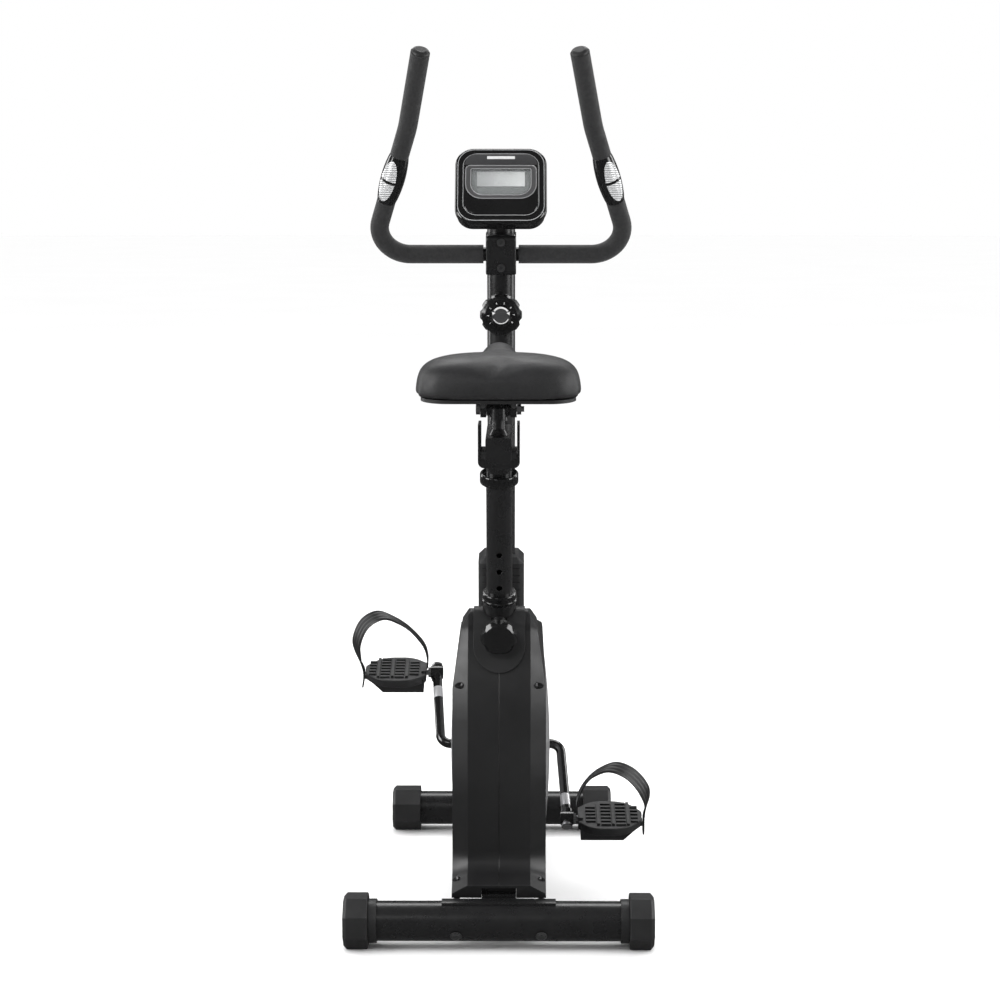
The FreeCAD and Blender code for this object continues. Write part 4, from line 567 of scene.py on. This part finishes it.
def console_pieces():
    """Painted highlight lines on the rim and the raised face, the window frame with painted highlight
    lines on its edges, printed panel and display glass on the console's face.
    """
    rim = rounded_rectangle(0.136, 0.127, 0.0262, 0.0262)
    # The rim and face beads are pale lines: painted highlights along the console's edges.
    console_bead("console_rim_highlight", "pale", rim, 0.0039, 0.0006)
    face = rounded_rectangle(0.1195, 0.1105, 0.0223, 0.0223)
    console_bead("console_face_highlight", "pale", face, 0.0058, 0.0005)
    outer = rounded_rectangle(0.1112, 0.0592, 0.0076, 0.0256, 0.003)
    inner = rounded_rectangle(0.0955, 0.0475, 0.0030, 0.0200, 0.0032)
    ring_plate("window_frame", "smoke", outer, inner, 0.0064, 0.0088)
    # Bright beads on the frame's outer and inner edges: painted highlights along them.
    console_bead("window_frame_edge_highlight", "silver", outer, 0.0081, 0.0007)
    console_bead("window_frame_step_highlight", "silver", inner, 0.0079, 0.0007)
    panel = rounded_rectangle(0.1135, 0.0195, 0.0175, 0.0012, 0.0437)
    small = rounded_rectangle(0.1125, 0.0187, 0.0171, 0.0010, 0.0437)
    finish_piece(new_piece("console_panel", "panel", "frame"),
                 plate_between([(panel, 0.0078), (panel, 0.0082), (small, 0.0084)], CONSOLE))
    bar = rounded_rectangle(0.044, 0.0052, 0.0008, 0.0008, 0.0468, 4)
    finish_piece(new_piece("console_bar", "white", "frame"),
                 plate_between([(bar, 0.00835), (bar, 0.00852)], CONSOLE))
    glass = rounded_rectangle(0.0755, 0.0265, 0.0008, 0.0008, 0.0110, 4)
    finish_piece(new_piece("display_glass", "display", "frame"),
                 plate_between([(glass, 0.0030), (glass, 0.0034)], CONSOLE))


# --- tension dial --------------------------------------------------------------------------------

DIAL = MAST @ Matrix.Translation((0, -0.0365, 0.819)) @ Matrix.Rotation(math.radians(90), 4, "X")
ARC_RADIUS = 0.0128
ARC_HEIGHT = 0.0194
INK = 0.00015


def arc_points(radius, first, last, height, steps=28):
    points = []
    for step in range(steps + 1):
        angle = math.radians(first + (last - first) * step / steps)
        points.append(Vector((radius * math.cos(angle), radius * math.sin(angle), height)))
    return points


def band_on_dial(name, radius, width, first, last, height):
    outer = arc_points(radius + width / 2, first, last, height)
    inner = arc_points(radius - width / 2, first, last, height)
    outline = outer + inner[::-1]
    rings = [[DIAL @ p for p in outline],
             [DIAL @ (p + Vector((0, 0, INK))) for p in outline]]
    finish_piece(new_piece(name, "white", "tension_dial"), loft(rings), False)


def arrow_on_dial(name, angle, height, turn):
    around = math.radians(angle)
    at = Vector((ARC_RADIUS * math.cos(around), ARC_RADIUS * math.sin(around), height))
    spin = Matrix.Rotation(math.radians(angle + turn), 4, "Z")
    corners = ((0.0040, 0, 0), (-0.001, 0.0030, 0), (-0.001, -0.0030, 0))
    outline = [at + spin @ Vector(corner) for corner in corners]
    rings = [[DIAL @ p for p in outline],
             [DIAL @ (p + Vector((0, 0, INK))) for p in outline]]
    finish_piece(new_piece(name, "white", "tension_dial"), loft(rings), False)


def digit(number, angle, radius, height, size):
    curve = bpy.data.curves.new("Digit%d" % number, "FONT")
    curve.body = str(number)
    curve.size = size
    curve.align_x = "CENTER"
    curve.align_y = "CENTER"
    curve.extrude = 0.00008
    holder = bpy.data.objects.new("Holder", curve)
    SCENE.collection.objects.link(holder)
    bpy.context.view_layer.update()
    mesh = bpy.data.meshes.new_from_object(holder)
    bpy.data.objects.remove(holder)
    around = Matrix.Rotation(math.radians(angle - 90), 4, "Z")
    mesh.transform(DIAL @ around @ Matrix.Translation((0, radius, height)))
    piece = new_piece("dial_digit_%d" % number, "white", "tension_dial", mesh)
    del piece["planned_body"]
    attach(piece, "tension_dial")


def dial_pieces():
    disc = arc_points(0.0148, 0, 354, 0, 60)
    rings = [[DIAL @ (p + Vector((0, 0, 0.0188))) for p in disc],
             [DIAL @ (p + Vector((0, 0, 0.0192))) for p in disc],
             [DIAL @ (p * 0.97 + Vector((0, 0, 0.0193))) for p in disc]]
    finish_piece(new_piece("dial_disc", "panel", "tension_dial"), loft(rings))
    band_on_dial("dial_arc_top", ARC_RADIUS, 0.0028, 34, 146, ARC_HEIGHT)
    band_on_dial("dial_arc_low", ARC_RADIUS, 0.0013, 205, 335, ARC_HEIGHT)
    arrow_on_dial("dial_arrow_left", 160, ARC_HEIGHT, 90)
    arrow_on_dial("dial_arrow_right", 20, ARC_HEIGHT, -90)
    for number in range(1, 9):
        digit(number, 215 - 35 * (number - 1), 0.0204, 0.02155, 0.0046)
    mark = arc_points(0.0024, 0, 342, 0, 18)
    around = math.radians(140)
    spot = Matrix.Translation((0.0285 * math.cos(around), 0.0285 * math.sin(around), 0.0186))
    tilt = Matrix.Rotation(around, 4, "Z") @ Matrix.Rotation(math.radians(27), 4, "Y")
    rings = [[DIAL @ spot @ tilt @ (p + Vector((0, 0, h))) for p in mark] for h in (0.0, 0.0009)]
    finish_piece(new_piece("dial_pointer", "white", "tension_dial"), loft(rings))


# --- saddle --------------------------------------------------------------------------------------

SADDLE_PLAN = ((-104, 62, 9), (-101, 78, 28), (-94, 96, 43), (-80, 110, 51), (-58, 116, 54),
               (-30, 116, 54), (-10, 110, 53), (8, 90, 51.5), (24, 68, 50.5), (40, 54, 50),
               (62, 43, 50), (90, 37, 51), (118, 34, 52), (138, 31, 50), (150, 25, 44),
               (157, 16, 32), (160, 7, 15))
BIKE_MIDDLE = 297.5
SADDLE_REAR = -104
SADDLE_LOW = 807
SADDLE_RISE = math.radians(4)


def saddle_station(y):
    for (y0, w0, h0), (y1, w1, h1) in zip(SADDLE_PLAN, SADDLE_PLAN[1:]):
        if y <= y1:
            share = (y - y0) / (y1 - y0)
            return w0 + (w1 - w0) * share, h0 + (h1 - h0) * share
    return SADDLE_PLAN[-1][1:]


def smooth_step(value, low, high):
    share = min(1.0, max(0.0, (value - low) / (high - low)))
    return share * share * (3 - 2 * share)


def saddle_shape():
    """A crowned closed form: broad shoulders at the back, a channel between them, a raised nose."""
    foot = Matrix.Translation((0, SADDLE_REAR - BIKE_MIDDLE, SADDLE_LOW))
    seat = foot @ Matrix.Rotation(SADDLE_RISE, 4, "X")
    rings = []
    stations = 66
    across = 44
    for row in range(stations + 1):
        y = SADDLE_REAR + 264 * row / stations
        wide, high = saddle_station(y)
        power = 4.4 - 2.2 * smooth_step(y, 0, 70)
        ring = []
        for step in range(across + 1):
            angle = math.pi * step / across
            c, s = math.cos(angle), math.sin(angle)
            x = math.copysign(abs(c) ** (2 / power), c)
            lift = abs(s) ** (2 / power)
            z = high * lift
            x *= wide * (1 - 0.035 * lift)
            channel = smooth_step(y, -100, -60) * (1 - smooth_step(y, 0, 60))
            z -= 5.0 * math.exp(-(x / 26) ** 2) * channel * lift
            ring.append(Vector((x, y - SADDLE_REAR, 0.4 + z)))
        for step in range(1, 14):
            x = -wide + 2 * wide * step / 14
            ring.append(Vector((x, y - SADDLE_REAR, 0.4)))
        rings.append([(seat @ p) * 0.001 for p in ring])
    return loft(rings)


def evaluated(piece):
    graph = bpy.context.evaluated_depsgraph_get()
    return bpy.data.meshes.new_from_object(piece.evaluated_get(graph))


def swap_mesh(piece, mesh):
    materials = list(piece.data.materials)
    piece.modifiers.clear()
    piece.data = mesh
    mesh.materials.clear()
    for material in materials:
        mesh.materials.append(material)


def inflate(piece, held, voxel=0.005, pressure=4.0, cap=0.006, frames=20):
    """Remeshes the piece, lets cloth with air pressure fill it, and keeps each move under the cap."""
    remesh = piece.modifiers.new("Remesh", "REMESH")
    remesh.mode = "VOXEL"
    remesh.voxel_size = voxel
    even = piece.modifiers.new("Even", "SMOOTH")
    even.factor = 0.5
    even.iterations = 6
    swap_mesh(piece, evaluated(piece))
    group = piece.vertex_groups.new(name="held")
    group.add([v.index for v in piece.data.vertices if held(v.co)], 1.0, "REPLACE")
    rest = [v.co.copy() for v in piece.data.vertices]
    cloth = piece.modifiers.new("Cloth", "CLOTH")
    settings = cloth.settings
    settings.quality = 6
    settings.mass = 0.4
    settings.use_pressure = True
    settings.uniform_pressure_force = pressure
    settings.tension_stiffness = 25
    settings.compression_stiffness = 25
    settings.bending_stiffness = 2
    settings.effector_weights.gravity = 0
    settings.vertex_group_mass = "held"
    cloth.point_cache.frame_start = 1
    cloth.point_cache.frame_end = frames
    for number in range(1, frames + 1):
        SCENE.frame_set(number)
    filled = evaluated(piece)
    for vertex, start, end in zip(piece.data.vertices, rest, filled.vertices):
        move = end.co - start
        if move.length > cap:
            move *= cap / move.length
        vertex.co = start + move
    piece.modifiers.clear()
    bpy.data.meshes.remove(filled)
    SCENE.frame_set(1)
    settle = piece.modifiers.new("Settle", "SMOOTH")
    settle.factor = 0.5
    settle.iterations = 4
    swap_mesh(piece, evaluated(piece))
    finer = piece.modifiers.new("Finer", "SUBSURF")
    finer.levels = 1
    finer.render_levels = 1
    for polygon in piece.data.polygons:
        polygon.use_smooth = True


def near_pan(point):
    run = point.y - (SADDLE_REAR - BIKE_MIDDLE) * 0.001
    return point.z - SADDLE_LOW * 0.001 - run * math.tan(SADDLE_RISE) < 0.0035


def make_saddle():
    piece = new_piece("saddle_pad", "vinyl", "saddle")
    finish_piece(piece, saddle_shape())
    inflate(piece, near_pan)
    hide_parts("saddle_cushion")


# --- pedal straps --------------------------------------------------------------------------------

def spline(points, steps):
    """Catmull-Rom points through the given ones."""
    found = []
    full = [points[0] * 2 - points[1], *points, points[-1] * 2 - points[-2]]
    for a, b, c, d in zip(full, full[1:], full[2:], full[3:]):
        for step in range(steps):
            t = step / steps
            found.append(0.5 * ((2 * b) + (c - a) * t + (2 * a - 5 * b + 4 * c - d) * t * t
                                + (3 * b - a - 3 * c + d) * t ** 3))
    found.append(points[-1])
    return found


# The middle of each strap from the inner lug over the foot to its tail, as (x, z) of the pedal.
STRAP_LINES = {
    "left": ((119.3, 11.5), (119.3, 30), (126, 51), (147, 76.5), (170, 92.5), (195, 100.5),
             (220, 85.5), (233.5, 54), (230.5, 26), (223.2, 5), (223.2, -12), (225, -23)),
    "right": ((119.3, 11.5), (119.5, 28), (124.5, 47), (136, 67), (151.5, 80.5), (174, 88.5),
              (199, 78.5), (218.5, 57), (227.5, 33), (223.4, 5), (223.2, -12), (223, -23)),
}


def strap(side, label, frame_matrix):
    """A moulded band over the foot: ribbed face, broad in the middle, a toothed tail at the lug."""
    path = spline([Vector((x, 0, z)) for x, z in STRAP_LINES[label]], 8)
    count = len(path) - 1
    rings = []
    for index, point in enumerate(path):
        share = index / count
        before = path[max(0, index - 1)]
        after = path[min(count, index + 1)]
        along = (after - before).normalized()
        out = Vector((along.z, 0, -along.x)) * -1
        middle = smooth_step(share, 0.15, 0.42) * (1 - smooth_step(share, 0.66, 0.84))
        half = 10.5 + 2.5 * middle
        drift = Vector((6.5, 0, 1.8)) * middle
        columns = 15
        upper, lower = [], []
        for column in range(columns):
            across = -1 + 2 * column / (columns - 1)
            ridge = 0.9 * middle if column % 4 in (1, 2) else 0.0
            edge = 0.45 if column in (0, columns - 1) else 0.0
            tooth = 0.5 if share > 0.8 and index % 2 else 0.0
            base = point + drift * across + Vector((0, half * across, 0))
            upper.append(base + out * (1.15 + ridge - edge + tooth))
            lower.append(base - out * (1.15 - edge))
        rings.append([frame_matrix @ (Vector((side * p.x, p.y, p.z)) * 0.001)
                      for p in upper + lower[::-1]])
    piece = new_piece(label + "_strap_band", "strap", label + "_pedal_body")
    finish_piece(piece, loft(rings))
    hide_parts(label + "_pedal_strap")


CRANK_SPOT = (0.0385, 0.221)
CRANK_TURN = math.radians(45)
CRANK_LENGTH = 0.135


def pedal_frame(side):
    """The pedal's own layout: its spindle at the crank's eye, its tread tilted towards the rider."""
    forward = CRANK_LENGTH * math.sin(CRANK_TURN) * -side
    up = CRANK_LENGTH * math.cos(CRANK_TURN) * -side
    return lean(CRANK_SPOT[0] + forward, CRANK_SPOT[1] + up, 13)


def crank_labels():
    """Plain foil bands round the crank, near each pedal."""
    turn = lean(CRANK_SPOT[0], CRANK_SPOT[1], -45)
    for side, name, low, high in ((-1, "left", 85, 105), (1, "right", 94, 114)):
        start = Vector((side * 95, 0, 0))
        end = Vector((side * 104, 0, -side * 135))
        along = (end - start).normalized()
        cross = Vector((0, 1, 0))
        other = along.cross(cross).normalized()
        rings = []
        for height, swell in ((low, 7.62), (low + 0.4, 7.68), (high - 0.4, 7.68), (high, 7.62)):
            centre = start + along * height
            rings.append([turn @ ((centre + (cross * math.cos(a) + other * math.sin(a)) * swell) * 0.001)
                          for a in (math.radians(10 * k) for k in range(36))])
        piece = new_piece(name + "_crank_label", "foil", "crankset")
        finish_piece(piece, loft(rings, cap=False))


def crank_caps():
    """Bright end faces on the two upright eyes of the crank."""
    turn = lean(CRANK_SPOT[0], CRANK_SPOT[1], -45)
    for side, name in ((-1, "left"), (1, "right")):
        rings = []
        for height, radius in ((145.5, 8.56), (149.4, 8.56), (150.2, 7.9), (150.3, 5.5)):
            rings.append([turn @ (Vector((side * 104 + radius * math.cos(a), radius * math.sin(a),
                                          -side * height)) * 0.001)
                          for a in (math.radians(10 * k) for k in range(36))])
        finish_piece(new_piece(name + "_crank_cap", "steel", "crankset"), loft(rings))


# --- floor ---------------------------------------------------------------------------------------

def make_floor():
    """A wide pale disc that glossy surfaces do not mirror."""
    work = bmesh.new()
    bmesh.ops.create_circle(work, cap_ends=True, segments=64, radius=60)
    mesh = bpy.data.meshes.new("Floor")
    work.to_mesh(mesh)
    work.free()
    floor = bpy.data.objects.new("Floor", mesh)
    floor.location = (0, 0, -0.0005)
    SCENE.collection.objects.link(floor)
    mesh.materials.append(make_floor_look().material)
    floor.visible_glossy = False


def main():
    make_camera()
    make_studio()
    dress_nodes()
    console_pieces()
    dial_pieces()
    make_saddle()
    for side, label in ((-1, "left"), (1, "right")):
        strap(side, label, pedal_frame(side))
    crank_labels()
    crank_caps()
    make_floor()


main()
